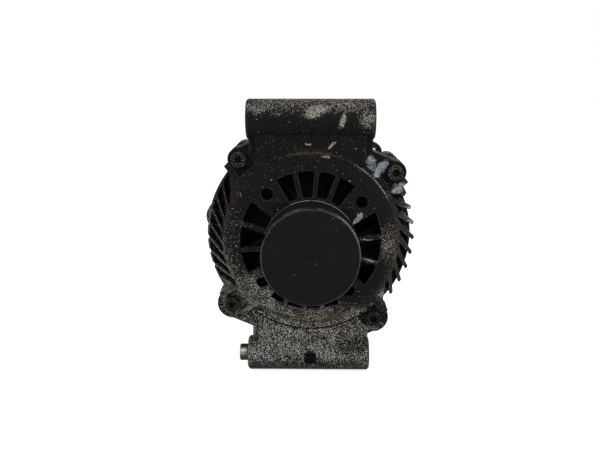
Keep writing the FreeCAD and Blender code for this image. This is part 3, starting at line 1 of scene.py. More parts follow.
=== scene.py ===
"""The looks of the alternator: finishes for every carried-over piece, and the wire and dirt detail.

The row frame has +X to the right as seen from the pulley, +Y along the shaft away from it and +Z up, with the
origin in the middle of the lower mounting bore. Lengths in the dataclasses are in millimetres.
"""
from __future__ import annotations

import functools
import json
import logging
import math
from collections.abc import Iterable
from dataclasses import dataclass
from enum import Enum

import bpy
import numpy as np
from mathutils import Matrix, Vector


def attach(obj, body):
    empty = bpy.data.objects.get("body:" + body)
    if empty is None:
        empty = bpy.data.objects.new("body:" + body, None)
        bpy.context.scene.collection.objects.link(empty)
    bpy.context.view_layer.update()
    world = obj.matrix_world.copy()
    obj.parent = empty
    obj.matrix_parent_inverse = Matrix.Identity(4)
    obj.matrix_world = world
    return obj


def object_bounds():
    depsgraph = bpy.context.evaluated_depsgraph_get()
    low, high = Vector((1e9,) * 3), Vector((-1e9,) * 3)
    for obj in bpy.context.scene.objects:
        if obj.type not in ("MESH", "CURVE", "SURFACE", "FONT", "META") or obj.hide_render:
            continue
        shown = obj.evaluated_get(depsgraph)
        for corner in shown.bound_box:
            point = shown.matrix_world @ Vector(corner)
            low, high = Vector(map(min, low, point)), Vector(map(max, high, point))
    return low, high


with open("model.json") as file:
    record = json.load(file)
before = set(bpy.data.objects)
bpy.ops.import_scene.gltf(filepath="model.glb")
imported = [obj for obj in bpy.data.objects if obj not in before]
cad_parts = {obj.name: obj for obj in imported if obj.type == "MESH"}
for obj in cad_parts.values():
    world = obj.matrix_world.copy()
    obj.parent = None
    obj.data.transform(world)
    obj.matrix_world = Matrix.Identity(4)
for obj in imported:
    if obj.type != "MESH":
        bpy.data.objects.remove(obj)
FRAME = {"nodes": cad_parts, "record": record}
CAD_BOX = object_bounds()

LOG = logging.getLogger("alternator")
MM = 0.001
IMAGE_WIDTH_PX = 600
SHAFT_HEIGHT = 83.0
WHITE = (1.0, 1.0, 1.0, 1.0)
# a Mix node has several sockets of each name, so those for colours go by their numbers
LOWER_COLOUR, UPPER_COLOUR, MIXED_COLOUR = 6, 7, 2
BEVEL_SAMPLES = 4
Triple = tuple[float, float, float]
Node = bpy.types.Node
Socket = bpy.types.NodeSocket
Tree = bpy.types.ShaderNodeTree
Inputs = dict[int | str, object]


def linear(hex_colour: str) -> tuple[float, float, float, float]:
    """Turn an sRGB hex colour into the linear colour that Blender mixes.

    Args:
        hex_colour: six hex digits after a hash.

    Returns:
        Linear red, green and blue, and an alpha of 1.
    """
    parts = [int(hex_colour[i : i + 2], 16) / 255 for i in (1, 3, 5)]
    red, green, blue = (c / 12.92 if c <= 0.04045 else ((c + 0.055) / 1.055) ** 2.4 for c in parts)
    return red, green, blue, 1.0


def empty_tree(owner: bpy.types.Material | bpy.types.World) -> Tree:
    """Give a material or the world a node tree with nothing in it."""
    owner.use_nodes = True
    owner.node_tree.nodes.clear()
    return owner.node_tree


def fill(node: Node, inputs: Inputs) -> None:
    """Set or link inputs of a node.

    Args:
        node: the node that gets them.
        inputs: values or output sockets by input name or number.
    """
    for key, value in inputs.items():
        if isinstance(value, Socket):
            node.id_data.links.new(value, node.inputs[key])
        else:
            node.inputs[key].default_value = value


def add_node(tree: Tree, kind: str, inputs: Inputs | None = None, **settings: object) -> Node:
    """Add one shader node with its settings, and fill or link its inputs.

    Args:
        tree: the node tree that gets the node.
        kind: the node's type name, without ShaderNode before it.
        inputs: values or output sockets by input name or number.
        settings: the node's own properties.

    Returns:
        The new node.
    """
    node = tree.nodes.new("ShaderNode" + kind)
    for name, value in settings.items():
        setattr(node, name, value)
    fill(node, inputs or {})
    return node


def socket(tree: Tree, kind: str, inputs: Inputs | None = None, out: int | str = 0, **settings: object) -> Socket:
    """Add a node as add_node does, and hand back its output of the given name or number."""
    return add_node(tree, kind, inputs, **settings).outputs[out]


def folded(tree: Tree, operation: str, values: Iterable[Socket]) -> Socket:
    """Work a row of values into one.

    Args:
        tree: the material's tree.
        operation: the Math node's operation that joins the result so far to the next value.
        values: at least one value.

    Returns:
        The last result.
    """

    def join(left: Socket, right: Socket) -> Socket:
        """One step of the row."""
        return socket(tree, "Math", {0: left, 1: right}, operation=operation)

    return functools.reduce(join, values)


def layered(tree: Tree, ground: Socket | str, *layers: tuple[Socket, Socket | str]) -> Socket:
    """Lay colours over each other.

    Args:
        tree: the material's tree.
        ground: the lowest colour, as a socket or in hex.
        layers: for each colour above, how much of it shows, and the colour as a socket or in hex.

    Returns:
        The colour that is seen.
    """
    for amount, colour in layers:
        lower, upper = (linear(part) if isinstance(part, str) else part for part in (ground, colour))
        inputs = {0: amount, LOWER_COLOUR: lower, UPPER_COLOUR: upper}
        ground = socket(tree, "Mix", inputs, MIXED_COLOUR, data_type="RGBA")
    return ground


def from_shaft(tree: Tree, place: Socket) -> tuple[Socket, Socket, Socket]:
    """Measure a point against the shaft's axis.

    Args:
        tree: the material's tree.
        place: the shaded point, in millimetres.

    Returns:
        The point as seen from the axis, its part across the shaft, and the length of that part.
    """
    away = socket(tree, "VectorMath", {0: place, 1: (0.0, 0.0, SHAFT_HEIGHT)}, operation="SUBTRACT")
    flat = socket(tree, "VectorMath", {0: away, 1: (1.0, 0.0, 1.0)}, operation="MULTIPLY")
    return away, flat, socket(tree, "VectorMath", {0: flat}, "Value", operation="LENGTH")


def clouded(
    tree: Tree, place: Socket, wave: float, detail: float, rough: float, low: float, high: float, top: float = 1.0
) -> tuple[Socket, Socket]:
    """Draw clouds, and how far they rise between two levels.

    Args:
        tree: the material's tree.
        place: the shaded point, in millimetres.
        wave: the size of the largest clouds, in millimetres.
        detail: how many finer layers they have.
        rough: how strong the finer layers are.
        low: the level where the rise starts.
        high: the level where it ends.
        top: the rise at its end.

    Returns:
        The clouds, from 0 to 1, and the rise.
    """
    clouds = socket(tree, "TexNoise", {"Vector": place, "Scale": 1 / wave, "Detail": detail, "Roughness": rough})
    return clouds, socket(tree, "MapRange", {"Value": clouds, "From Min": low, "From Max": high, "To Max": top})


def relief(tree: Tree, height: Socket, strength: float, depth: float, edge: float = 0.0) -> Socket:
    """Raise a surface by a pattern, and round its edges in the shading.

    Args:
        tree: the material's tree.
        height: the pattern.
        strength: how much of the bump shows.
        depth: how high a pattern of 1 stands, in millimetres.
        edge: the edges' radius in millimetres, or 0 for sharp ones.

    Returns:
        The changed normal.
    """
    inputs = {"Strength": strength, "Distance": depth * MM, "Height": height}
    if edge:
        inputs["Normal"] = socket(tree, "Bevel", {"Radius": edge * MM}, samples=BEVEL_SAMPLES)
    return socket(tree, "Bump", inputs)


@dataclass(frozen=True)
class Patch:
    """A soft-edged ellipsoid of the row frame, in millimetres, in which a finish changes.

    Its width may be turned by some degrees about the shaft's direction, counterclockwise as seen from the pulley.
    """

    centre: Triple
    size: Triple
    amount: float = 1.0
    edge: float = 0.45
    turn: float = 0.0

    def mask(self, tree: Tree, place: Socket) -> Socket:
        """Draw the patch.

        Args:
            tree: the material's tree.
            place: the shaded point, in millimetres.

        Returns:
            The patch's amount inside it, 0 outside, and a smooth step between.
        """
        away = socket(tree, "VectorMath", {0: place, 1: self.centre}, operation="SUBTRACT")
        if self.turn:
            inputs = {"Vector": away, "Angle": math.radians(self.turn)}
            away = socket(tree, "VectorRotate", inputs, rotation_type="Y_AXIS")
        scaled = socket(tree, "VectorMath", {0: away, 1: self.size}, operation="DIVIDE")
        length = socket(tree, "VectorMath", {0: scaled}, "Value", operation="LENGTH")
        inputs = {"Value": length, "From Min": 1 + self.edge, "From Max": 1 - self.edge, "To Max": self.amount}
        return socket(tree, "MapRange", inputs, interpolation_type="SMOOTHSTEP")


Patches = tuple[Patch, ...]
NOWHERE: Patches = (Patch((0, 0, 0), (1, 1, 1), 0.0),)


def covered(tree: Tree, place: Socket, patches: Patches) -> Socket:
    """Join patches into one mask that takes the strongest of them at each point.

    Args:
        tree: the material's tree.
        place: the shaded point, in millimetres.
        patches: at least one patch.

    Returns:
        The joined mask.
    """
    return folded(tree, "MAXIMUM", [patch.mask(tree, place) for patch in patches])


@dataclass(frozen=True)
class Finish:
    """What all finishes share: a name, and how a material is made from the parts that a finish draws."""

    name: str

    def material(self) -> bpy.types.Material:
        """Make the Blender material.

        Returns:
            The new material, with its pattern in the row frame's millimetres.
        """
        material = bpy.data.materials.new(self.name)
        tree = empty_tree(material)
        shader = add_node(tree, "BsdfPrincipled")
        add_node(tree, "OutputMaterial", {0: shader.outputs[0]})
        inputs = {0: socket(tree, "TexCoord", out="Object"), "Scale": 1 / MM}
        self.draw(tree, socket(tree, "VectorMath", inputs, operation="SCALE"), shader)
        return material

    def draw(self, tree: Tree, place: Socket, shader: Node) -> None:
        """Fill the shader's inputs; each finish has its own way.

        Args:
            tree: the material's tree.
            place: the shaded point, in millimetres.
            shader: the shader to fill.
        """
        raise NotImplementedError


@dataclass(frozen=True)
class DirtyCasting(Finish):
    """Sand-rough aluminium casting under years of oil and road dirt.

    Bare grains are dull grey and dry, the dirt is near black. How many grains show comes from the patches: a
    fine speckle is cut at a level that falls as a place gets cleaner, and hollows found by ambient occlusion stay
    dirty, which is dirt and painted shade. Sharp edges are rubbed bare, single pale crumbs lie on the dirt, the
    crease round the ring is rubbed above, and a black seam runs round it below. Bright bare patches on the right
    fins' edges and on a spoke are painted highlights, and a soot patch under the lower barrel is painted shade.
    """

    clean: Patches
    bright: Patches
    brown: Patches
    pale: Patches
    sooty: Patches
    worn_edges: Patches
    rubbed_crease: Patches
    metal: str = "#5b5954"
    shine: str = "#b3afa5"
    soot: str = "#050606"
    grime: str = "#191b19"
    film: str = "#2e2d29"
    rust: str = "#543620"
    frost: str = "#a1a9b0"
    crumb: str = "#b5b0a5"
    speck_mm: float = 0.6
    grit_mm: float = 0.5
    lump_mm: float = 3.125
    cloud_mm: float = 9.0909
    stain_mm: float = 2.0
    fray_wave_mm: float = 3.3333
    fray_mm: float = 9.0
    fine_fray_mm: float = 3.15
    crumb_gap_mm: float = 4.2
    bump_mm: float = 0.25
    edge_mm: float = 0.8
    hollow_mm: float = 5.0
    cut_dirty: float = 0.74
    cut_clean: float = 0.4
    crease_radius: float = 57.7
    crease_half: float = 0.65
    crease_depth: float = -9.0
    seam_radius: float = 62.4
    seam_half: float = 0.85
    seam_top: float = SHAFT_HEIGHT - 22
    seam_full: float = SHAFT_HEIGHT - 34

    def draw(self, tree: Tree, place: Socket, shader: Node) -> None:
        """Join bare grains and rubbed edges, colour both sides of the cut and raise the grit.

        Args:
            tree: the material's tree.
            place: the shaded point, in millimetres.
            shader: the shader to fill.
        """
        # one grain is about a pixel wide, a little coarser than the real blasting, so that it shows
        fine = ((self.speck_mm, 1.5, 0.5), (self.grit_mm, 3.0, 0.65))
        wide = ((self.lump_mm, 2.0, 0.5), (self.cloud_mm, 4.0, 0.65))
        specks, grit, lumps, clouds = (
            socket(tree, "TexNoise", {"Vector": place, "Scale": 1 / wave, "Detail": detail, "Roughness": rough})
            for wave, detail, rough in (*fine, *wide)
        )
        soft = socket(tree, "Bevel", {"Radius": self.edge_mm * MM}, samples=BEVEL_SAMPLES)
        # the soot patches, one of which is painted shade under the lower barrel, keep places from being clean
        inputs = {0: 1.0, 1: covered(tree, place, self.sooty)}
        spared = socket(tree, "Math", inputs, operation="SUBTRACT")
        inputs = {0: covered(tree, self.ragged_place(tree, place, self.fray_mm), self.clean), 1: spared}
        patches = socket(tree, "Math", inputs, operation="MULTIPLY")
        ragged = self.ragged_place(tree, place, self.fine_fray_mm)
        bare, cleanness = self.bare_metal(tree, ragged, specks, clouds, soft, patches)
        height = folded(tree, "ADD", (specks, grit, lumps))
        inputs = {"Strength": 1.0, "Distance": self.bump_mm * MM, "Height": height, "Normal": soft}
        fill(shader, {
            "Base Color": self.colour(tree, place, bare, specks, cleanness),
            "Roughness": socket(tree, "MapRange", {"Value": bare, "To Min": 0.66, "To Max": 0.48}),
            "Metallic": socket(tree, "Math", {0: bare, 1: 0.25}, operation="MULTIPLY"),
            "Specular IOR Level": 0.07,
            "Normal": socket(tree, "Bump", inputs),
        })

    def ragged_place(self, tree: Tree, place: Socket, fray: float) -> Socket:
        """Push the shaded point aside by noise, which frays the patches' outlines.

        Args:
            tree: the material's tree.
            place: the shaded point, in millimetres.
            fray: how wide the noise spreads it, in millimetres.

        Returns:
            The shifted point.
        """
        inputs = {"Vector": place, "Scale": 1 / self.fray_wave_mm, "Detail": 4.0, "Roughness": 0.7}
        noise = socket(tree, "TexNoise", inputs, "Color")
        push = socket(tree, "VectorMath", {0: noise, 1: (0.5, 0.5, 0.5)}, operation="SUBTRACT")
        push = socket(tree, "VectorMath", {0: push, "Scale": fray}, operation="SCALE")
        return socket(tree, "VectorMath", {0: place, 1: push}, operation="ADD")

    def bare_metal(
        self, tree: Tree, ragged: Socket, specks: Socket, clouds: Socket, soft: Socket, patches: Socket
    ) -> tuple[Socket, Socket]:
        """How bare each point is: the speckle's cut, and the rubbed edges found where the softened normal turns.

        Args:
            tree: the material's tree.
            ragged: the shaded point, in millimetres, shifted by noise.
            specks: the fine speckle.
            clouds: slow changes over centimetres.
            soft: the normal softened across edges.
            patches: how clean each place is.

        Returns:
            The speckle, 0 under dirt and 1 on metal, and the cleanness that it was cut by.
        """
        inputs = {"Value": clouds, "From Min": 0.35, "From Max": 0.65, "To Min": 0.7, "To Max": 1.15}
        drift = socket(tree, "MapRange", inputs)
        # hollows found by ambient occlusion stay dirty and lose their rubbed edges: dirt and painted shade
        hollow = socket(tree, "AmbientOcclusion", {"Distance": self.hollow_mm * MM}, "AO", samples=6)
        open_air = socket(tree, "MapRange", {"Value": hollow, "From Min": 0.2, "From Max": 0.7})
        inputs = {0: folded(tree, "MULTIPLY", (patches, drift, open_air)), 1: covered(tree, ragged, self.bright)}
        cleanness = socket(tree, "Math", inputs, operation="MAXIMUM")
        inputs = {"Value": cleanness, "To Min": self.cut_dirty, "To Max": self.cut_clean}
        above = socket(tree, "Math", {0: specks, 1: socket(tree, "MapRange", inputs)}, operation="SUBTRACT")
        inputs = {"Value": above, "From Min": -0.01, "From Max": 0.018}
        spotted = socket(tree, "MapRange", inputs, interpolation_type="SMOOTHSTEP")
        inputs = {0: soft, 1: socket(tree, "NewGeometry", out="Normal")}
        turn = socket(tree, "VectorMath", inputs, "Value", operation="DOT_PRODUCT")
        edge = socket(tree, "MapRange", {"Value": turn, "From Min": 0.985, "From Max": 0.9})
        worn = socket(tree, "MapRange", {"Value": specks, "From Min": 0.44, "From Max": 0.58})
        # on the right fins these edges are made bright as painted highlights
        edge = folded(tree, "MULTIPLY", (edge, worn, covered(tree, ragged, self.worn_edges), open_air))
        return socket(tree, "Math", {0: spotted, 1: edge}, operation="MAXIMUM"), cleanness

    def crumbs(self, tree: Tree, place: Socket) -> Socket:
        """Scatter single pale crumbs, one in some cells of a loose grid, each under a millimetre wide.

        Args:
            tree: the material's tree.
            place: the shaded point, in millimetres.

        Returns:
            How much of a crumb shows at each point.
        """
        cells = add_node(tree, "TexVoronoi", {"Vector": place, "Scale": 1 / self.crumb_gap_mm})
        dots = socket(tree, "MapRange", {"Value": cells.outputs["Distance"], "From Min": 0.12, "From Max": 0.06})
        # a cell's colour is random, and its red part decides whether the cell keeps its crumb
        inputs = {0: cells.outputs["Color"], 1: (1.0, 0.0, 0.0)}
        chance = socket(tree, "VectorMath", inputs, "Value", operation="DOT_PRODUCT")
        kept = socket(tree, "MapRange", {"Value": chance, "From Min": 0.55, "From Max": 1.0})
        return socket(tree, "Math", {0: dots, 1: kept}, operation="MULTIPLY")

    def ring_lines(self, tree: Tree, place: Socket, specks: Socket) -> tuple[Socket, Socket]:
        """Two thin lines round the shaft, in the plane where the ring turns into its shoulder.

        Args:
            tree: the material's tree.
            place: the shaded point, in millimetres.
            specks: the fine speckle, which breaks the crease's line.

        Returns:
            The black seam low on the bracket, and the rubbed line of the crease.
        """
        radius = from_shaft(tree, place)[2]
        split = add_node(tree, "SeparateXYZ", {0: place})
        station = socket(tree, "Math", {0: split.outputs["Y"], 1: self.crease_depth}, operation="SUBTRACT")
        along = socket(tree, "Math", {0: station, 1: 0.3}, operation="MULTIPLY")
        lines = []
        for ring_radius, half in ((self.seam_radius, self.seam_half), (self.crease_radius, self.crease_half)):
            across = socket(tree, "Math", {0: radius, 1: ring_radius}, operation="SUBTRACT")
            pair = socket(tree, "CombineXYZ", {0: across, 1: along})
            off = socket(tree, "VectorMath", {0: pair}, "Value", operation="LENGTH")
            lines.append(socket(tree, "MapRange", {"Value": off, "From Min": half, "From Max": half * 0.5}))
        inputs = {"Value": split.outputs["Z"], "From Min": self.seam_top, "From Max": self.seam_full}
        seam = socket(tree, "Math", {0: lines[0], 1: socket(tree, "MapRange", inputs)}, operation="MULTIPLY")
        broken = socket(tree, "MapRange", {"Value": specks, "From Min": 0.5, "From Max": 0.58})
        return seam, folded(tree, "MULTIPLY", (lines[1], broken, covered(tree, place, self.rubbed_crease)))

    def colour(self, tree: Tree, place: Socket, bare: Socket, specks: Socket, cleanness: Socket) -> Socket:
        """Mix metal, pale corrosion, dirt, stains, the two lines and crumbs.

        Args:
            tree: the material's tree.
            place: the shaded point, in millimetres.
            bare: how bare each point is.
            specks: the fine speckle, which varies each colour.
            cleanness: how clean each place is, which thins the dirt to a film.

        Returns:
            The base colour.
        """
        vary = socket(tree, "MapRange", {"Value": specks, "From Min": 0.36, "From Max": 0.68})
        metal = layered(tree, self.metal, (vary, self.shine), (covered(tree, place, self.pale), self.frost))
        thin = socket(tree, "Math", {0: cleanness, 1: 0.45}, operation="MULTIPLY")
        dirt = layered(tree, self.soot, (vary, self.grime), (thin, self.film))
        _, stained = clouded(tree, place, self.stain_mm, detail=5.0, rough=0.7, low=0.44, high=0.64, top=0.85)
        brown = socket(tree, "Math", {0: covered(tree, place, self.brown), 1: stained}, operation="MULTIPLY")
        seam, crease = self.ring_lines(tree, place, specks)
        pale = socket(tree, "Math", {0: self.crumbs(tree, place), 1: crease}, operation="MAXIMUM")
        return layered(tree, dirt, (bare, metal), (brown, self.rust), (seam, self.soot), (pale, self.crumb))


@dataclass(frozen=True)
class Moulding(Finish):
    """Injection-moulded polyamide or thermoset: matt and even, with dust specks and a fine grained skin."""

    colour: str
    dust: str = "#6d6a64"
    dusty: float = 0.5
    grain_mm: float = 0.6
    rough: float = 0.6
    gloss: float = 0.08
    dust_mm: float = 1.1111

    def draw(self, tree: Tree, place: Socket, shader: Node) -> None:
        """Colour the skin, scatter dust over it and raise the grain.

        Args:
            tree: the material's tree.
            place: the shaded point, in millimetres.
            shader: the shader to fill.
        """
        grain = socket(tree, "TexNoise", {"Vector": place, "Scale": 1 / self.grain_mm, "Detail": 2.0})
        _, specks = clouded(tree, place, self.dust_mm, detail=6.0, rough=0.75, low=0.6, high=0.85, top=self.dusty)
        fill(shader, {
            "Base Color": layered(tree, self.colour, (specks, self.dust)),
            "Roughness": self.rough,
            "Specular IOR Level": self.gloss,
            "Normal": relief(tree, grain, strength=0.35, depth=0.05, edge=0.4),
        })


@dataclass(frozen=True)
class CapMoulding(Finish):
    """The pulley's dust cap: smooth blue-black polyamide with a thin bright line painted on its front rim as a
    highlight, and faint turning-like rings.
    """

    colour: str = "#121416"
    scuff: str = "#181b1d"
    # the colour of the painted highlight on the rim
    rim: str = "#7c8183"
    fleck: str = "#5d6164"
    rim_radius: float = 29.7
    rim_width: float = 0.45
    rim_back: float = -56.25
    rim_fade: float = 0.2
    rim_gap_mm: float = 2.8571
    scuff_mm: float = 8.3333
    fleck_gap_mm: float = 6.25
    ring_mm: float = 0.6981

    def draw(self, tree: Tree, place: Socket, shader: Node) -> None:
        """Measure the distance from the shaft for the rim and rings, and add scuffs and specks.

        Args:
            tree: the material's tree.
            place: the shaded point, in millimetres.
            shader: the shader to fill.
        """
        _, flat, radius = from_shaft(tree, place)
        # painted highlight: a thin bright line round the front rim, broken by clouds
        inputs = {"Value": radius, "From Min": self.rim_radius - self.rim_width, "From Max": self.rim_radius}
        corner = socket(tree, "MapRange", inputs, interpolation_type="SMOOTHSTEP")
        _, gaps = clouded(tree, place, self.rim_gap_mm, detail=5.0, rough=0.8, low=0.36, high=0.72)
        limits = {"From Min": self.rim_back + self.rim_fade, "From Max": self.rim_back - self.rim_fade}
        front = socket(tree, "MapRange", {"Value": socket(tree, "SeparateXYZ", {0: place}, "Y"), **limits})
        worn = folded(tree, "MULTIPLY", (corner, gaps, front))
        scuffs, scuffed = clouded(tree, flat, self.scuff_mm, detail=8.0, rough=0.7, low=0.35, high=0.75)
        cells = socket(tree, "TexVoronoi", {"Vector": flat, "Scale": 1 / self.fleck_gap_mm})
        specks = socket(tree, "MapRange", {"Value": cells, "From Min": 0.075, "From Max": 0.045})
        rings = socket(tree, "Math", {0: radius, 1: 2 * math.pi / self.ring_mm}, operation="MULTIPLY")
        waves = socket(tree, "Math", {0: rings}, operation="SINE")
        height = socket(tree, "Math", {0: waves, 1: 0.15, 2: scuffs}, operation="MULTIPLY_ADD")
        fill(shader, {
            "Base Color": layered(tree, self.colour, (scuffed, self.scuff), (specks, self.fleck), (worn, self.rim)),
            "Roughness": 0.6,
            "Specular IOR Level": 0.04,
            "Normal": relief(tree, height, strength=0.3, depth=0.06),
        })


@dataclass(frozen=True)
class TurnedSteel(Finish):
    """Steel turned on a lathe: bright, with fine rings round an axis, oil film and brown spots where dirt sits."""

    colour: str
    dirt: str = "#1b1a18"
    dirty: float = 0.5
    rough: float = 0.3
    axis: Triple = (0.0, 1.0, 0.0)
    ring_mm: float = 0.35
    grimy: Patches = NOWHERE
    cloud_mm: float = 2.5

    def draw(self, tree: Tree, place: Socket, shader: Node) -> None:
        """Rings come from the distance along the axis; dirt from clouds, dirt and painted shade from hollows, and
        painted shade from patches.

        Args:
            tree: the material's tree.
            place: the shaded point, in millimetres.
            shader: the shader to fill.
        """
        station = socket(tree, "VectorMath", {0: place, 1: self.axis}, "Value", operation="DOT_PRODUCT")
        waves = socket(tree, "Math", {0: station, 1: 2 * math.pi / self.ring_mm}, operation="MULTIPLY")
        rings = socket(tree, "Math", {0: waves}, operation="SINE")
        inputs = {"Vector": place, "Scale": 1 / self.cloud_mm, "Detail": 6.0, "Roughness": 0.7}
        clouds = socket(tree, "TexNoise", inputs)
        # hollows found by ambient occlusion get more of the dirt colour, which is dirt and painted shade
        hollow = socket(tree, "AmbientOcclusion", {"Distance": 3 * MM}, "AO", samples=4)
        held = socket(tree, "Math", {0: clouds, 1: hollow}, operation="SUBTRACT")
        held = socket(tree, "MapRange", {"Value": held, "From Min": -0.45, "From Max": -0.1, "To Max": self.dirty})
        # the shade patches paint shade, and the band they leave bright stands for a highlight
        dirt = socket(tree, "Math", {0: held, 1: covered(tree, place, self.grimy)}, operation="MAXIMUM")
        fill(shader, {
            "Base Color": layered(tree, self.colour, (dirt, self.dirt)),
            "Metallic": socket(tree, "MapRange", {"Value": dirt, "To Min": 1.0, "To Max": 0.2}),
            "Roughness": socket(tree, "MapRange", {"Value": dirt, "To Min": self.rough, "To Max": 0.7}),
            "Specular IOR Level": 0.2,
            "Normal": relief(tree, rings, strength=0.2, depth=0.04, edge=0.3),
        })


@dataclass(frozen=True)
class GrimyPulley(Finish):
    """Turned steel pulley, black with belt dust; its rims' crests show bright arcs, bare steel where the dust is thin
    and painted highlights at the top and upper right.
    """

    # the crests' bare steel, also the colour of their painted highlights
    steel: str = "#dcdbd4"
    dust: str = "#111212"
    # painted highlights: bright arcs on the crests at the top and upper right
    rubbed: Patches = (
        Patch((-7, -30, 112.5), (6, 5, 4), 1.4, 0.3),
        Patch((16, -30, 109), (15, 5, 9), 1.4, 0.3),
        Patch((24, -55, 100), (9, 5, 16), 0.7, 0.4),
    )
    crest_radius: float = 30.4
    crest_depth: float = 0.9
    # each rim's row y, and how far from it the bright band ends
    rims: tuple[tuple[float, float], ...] = ((-30.0, 2.08), (-54.7, 0.39))
    cloud_mm: float = 9.0

    def draw(self, tree: Tree, place: Socket, shader: Node) -> None:
        """Bright where the radius is near the crests, where slow clouds leave the dust thin and where the painted
        highlights lie.

        Args:
            tree: the material's tree.
            place: the shaded point, in millimetres.
            shader: the shader to fill.
        """
        away, _, radius = from_shaft(tree, place)
        inputs = {"Value": radius, "From Min": self.crest_radius - self.crest_depth, "From Max": self.crest_radius}
        crest = socket(tree, "MapRange", inputs, interpolation_type="SMOOTHSTEP")
        station = socket(tree, "SeparateXYZ", {0: place}, "Y")
        bands = []
        for edge, width in self.rims:
            off = socket(tree, "Math", {0: station, 1: edge}, operation="SUBTRACT")
            off = socket(tree, "Math", {0: off}, operation="ABSOLUTE")
            bands.append(socket(tree, "MapRange", {"Value": off, "From Min": width, "From Max": width * 0.6}))
        clouds, thin = clouded(tree, away, self.cloud_mm, detail=5.0, rough=0.65, low=0.42, high=0.62, top=0.3)
        thin = socket(tree, "Math", {0: thin, 1: covered(tree, place, self.rubbed)}, operation="MAXIMUM")
        bare = folded(tree, "MULTIPLY", (crest, folded(tree, "MAXIMUM", bands), thin))
        fill(shader, {
            "Base Color": layered(tree, self.dust, (bare, self.steel)),
            "Metallic": socket(tree, "Math", {0: bare, 1: 0.35}, operation="MULTIPLY"),
            "Roughness": socket(tree, "MapRange", {"Value": bare, "To Min": 0.75, "To Max": 0.35}),
            "Specular IOR Level": 0.06,
            "Normal": relief(tree, clouds, strength=0.3, depth=0.08),
        })


@dataclass(frozen=True)
class Winding(Finish):
    """Enamelled copper wire dipped in varnish: dark red-brown, glossy on its crowns, near black in hollows, which is
    dirt and painted shade.
    """

    wire: str = "#7e3b1e"
    varnish: str = "#1b0c08"
    dirt: str = "#080606"
    seen: Patches = (
        Patch((-62, 14, 98), (22, 20, 36), 1.0, 0.3),
        Patch((62, 14, 92), (22, 20, 32), 0.9, 0.3),
        Patch((0, 84, 83), (90, 34, 90), 0.7, 0.2),
    )
    cloud_mm: float = 0.9091

    def draw(self, tree: Tree, place: Socket, shader: Node) -> None:
        """Mix wire and varnish in clouds, and darken the hollows between the turns with dirt and painted shade.

        Args:
            tree: the material's tree.
            place: the shaded point, in millimetres.
            shader: the shader to fill.
        """
        clouds, spread = clouded(tree, place, self.cloud_mm, detail=4.0, rough=0.7, low=0.46, high=0.62)
        spread = socket(tree, "Math", {0: spread, 1: covered(tree, place, self.seen)}, operation="MULTIPLY")
        # hollows found by ambient occlusion turn near black: dirt and painted shade between the turns
        hollow = socket(tree, "AmbientOcclusion", {"Distance": 2.5 * MM}, "AO", samples=4)
        fill(shader, {
            "Base Color": layered(tree, self.dirt, (hollow, layered(tree, self.varnish, (spread, self.wire)))),
            "Metallic": 0.3,
            "Roughness": 0.4,
            "Specular IOR Level": 0.2,
            "Coat Weight": 0.35,
            "Coat Roughness": 0.15,
            "Normal": relief(tree, clouds, strength=0.3, depth=0.1),
        })


@dataclass(frozen=True)
class Laminations(Finish):
    """A stack of punched electrical sheet: fine dark lines between the sheets, lightly rusted."""

    steel: str = "#2e2c2a"
    rust: str = "#2e1d13"
    gap: str = "#0f0e0d"
    sheet_mm: float = 1.0
    rust_mm: float = 4.0

    def draw(self, tree: Tree, place: Socket, shader: Node) -> None:
        """The sheets lie across the shaft; drawn twice as thick as real ones so that the lines show.

        Args:
            tree: the material's tree.
            place: the shaded point, in millimetres.
            shader: the shader to fill.
        """
        inputs = {0: socket(tree, "SeparateXYZ", {0: place}, "Y"), 1: self.sheet_mm}
        part = socket(tree, "Math", inputs, operation="FLOORED_MODULO")
        line = socket(tree, "MapRange", {"Value": part, "From Min": 0.16, "From Max": 0.28})
        _, rusty = clouded(tree, place, self.rust_mm, detail=6.0, rough=0.7, low=0.4, high=0.62)
        fill(shader, {
            "Base Color": layered(tree, self.gap, (line, layered(tree, self.steel, (rusty, self.rust)))),
            "Metallic": 0.4,
            "Roughness": 0.6,
            "Normal": relief(tree, line, strength=0.5, depth=0.1),
        })


@dataclass(frozen=True)
class PlatedSteel(Finish):
    """Zinc-plated or phosphated steel with a fine crystalline skin, oil stains, and dirt and painted shade in its
    corners.
    """

    colour: str
    stain: str
    metallic: float = 0.8
    rough: float = 0.42
    dirty: float = 0.7
    gloss: float = 0.5
    stain_mm: float = 1.25

    def draw(self, tree: Tree, place: Socket, shader: Node) -> None:
        """Stains come from clouds, and dirt and painted shade from hollows.

        Args:
            tree: the material's tree.
            place: the shaded point, in millimetres.
            shader: the shader to fill.
        """
        # the skin's crystals are about a millimetre wide, and the same clouds carry its stains
        wave, top = self.stain_mm, self.dirty
        clouds, stained = clouded(tree, place, wave, detail=6.0, rough=0.72, low=0.42, high=0.62, top=top)
        colour = layered(tree, self.colour, (stained, self.stain))
        # hollows found by ambient occlusion take the stain colour: dirt and painted shade
        hollow = socket(tree, "AmbientOcclusion", {"Distance": 4 * MM}, "AO", samples=6)
        hollow = socket(tree, "MapRange", {"Value": hollow, "From Min": 0.45, "From Max": 0.9})
        inputs = {"Value": clouds, "To Min": self.rough - 0.12, "To Max": self.rough + 0.2}
        fill(shader, {
            "Base Color": layered(tree, self.stain, (hollow, colour)),
            "Metallic": self.metallic,
            "Roughness": socket(tree, "MapRange", inputs),
            "Specular IOR Level": self.gloss,
            "Normal": relief(tree, clouds, strength=0.3, depth=0.08, edge=0.3),
        })


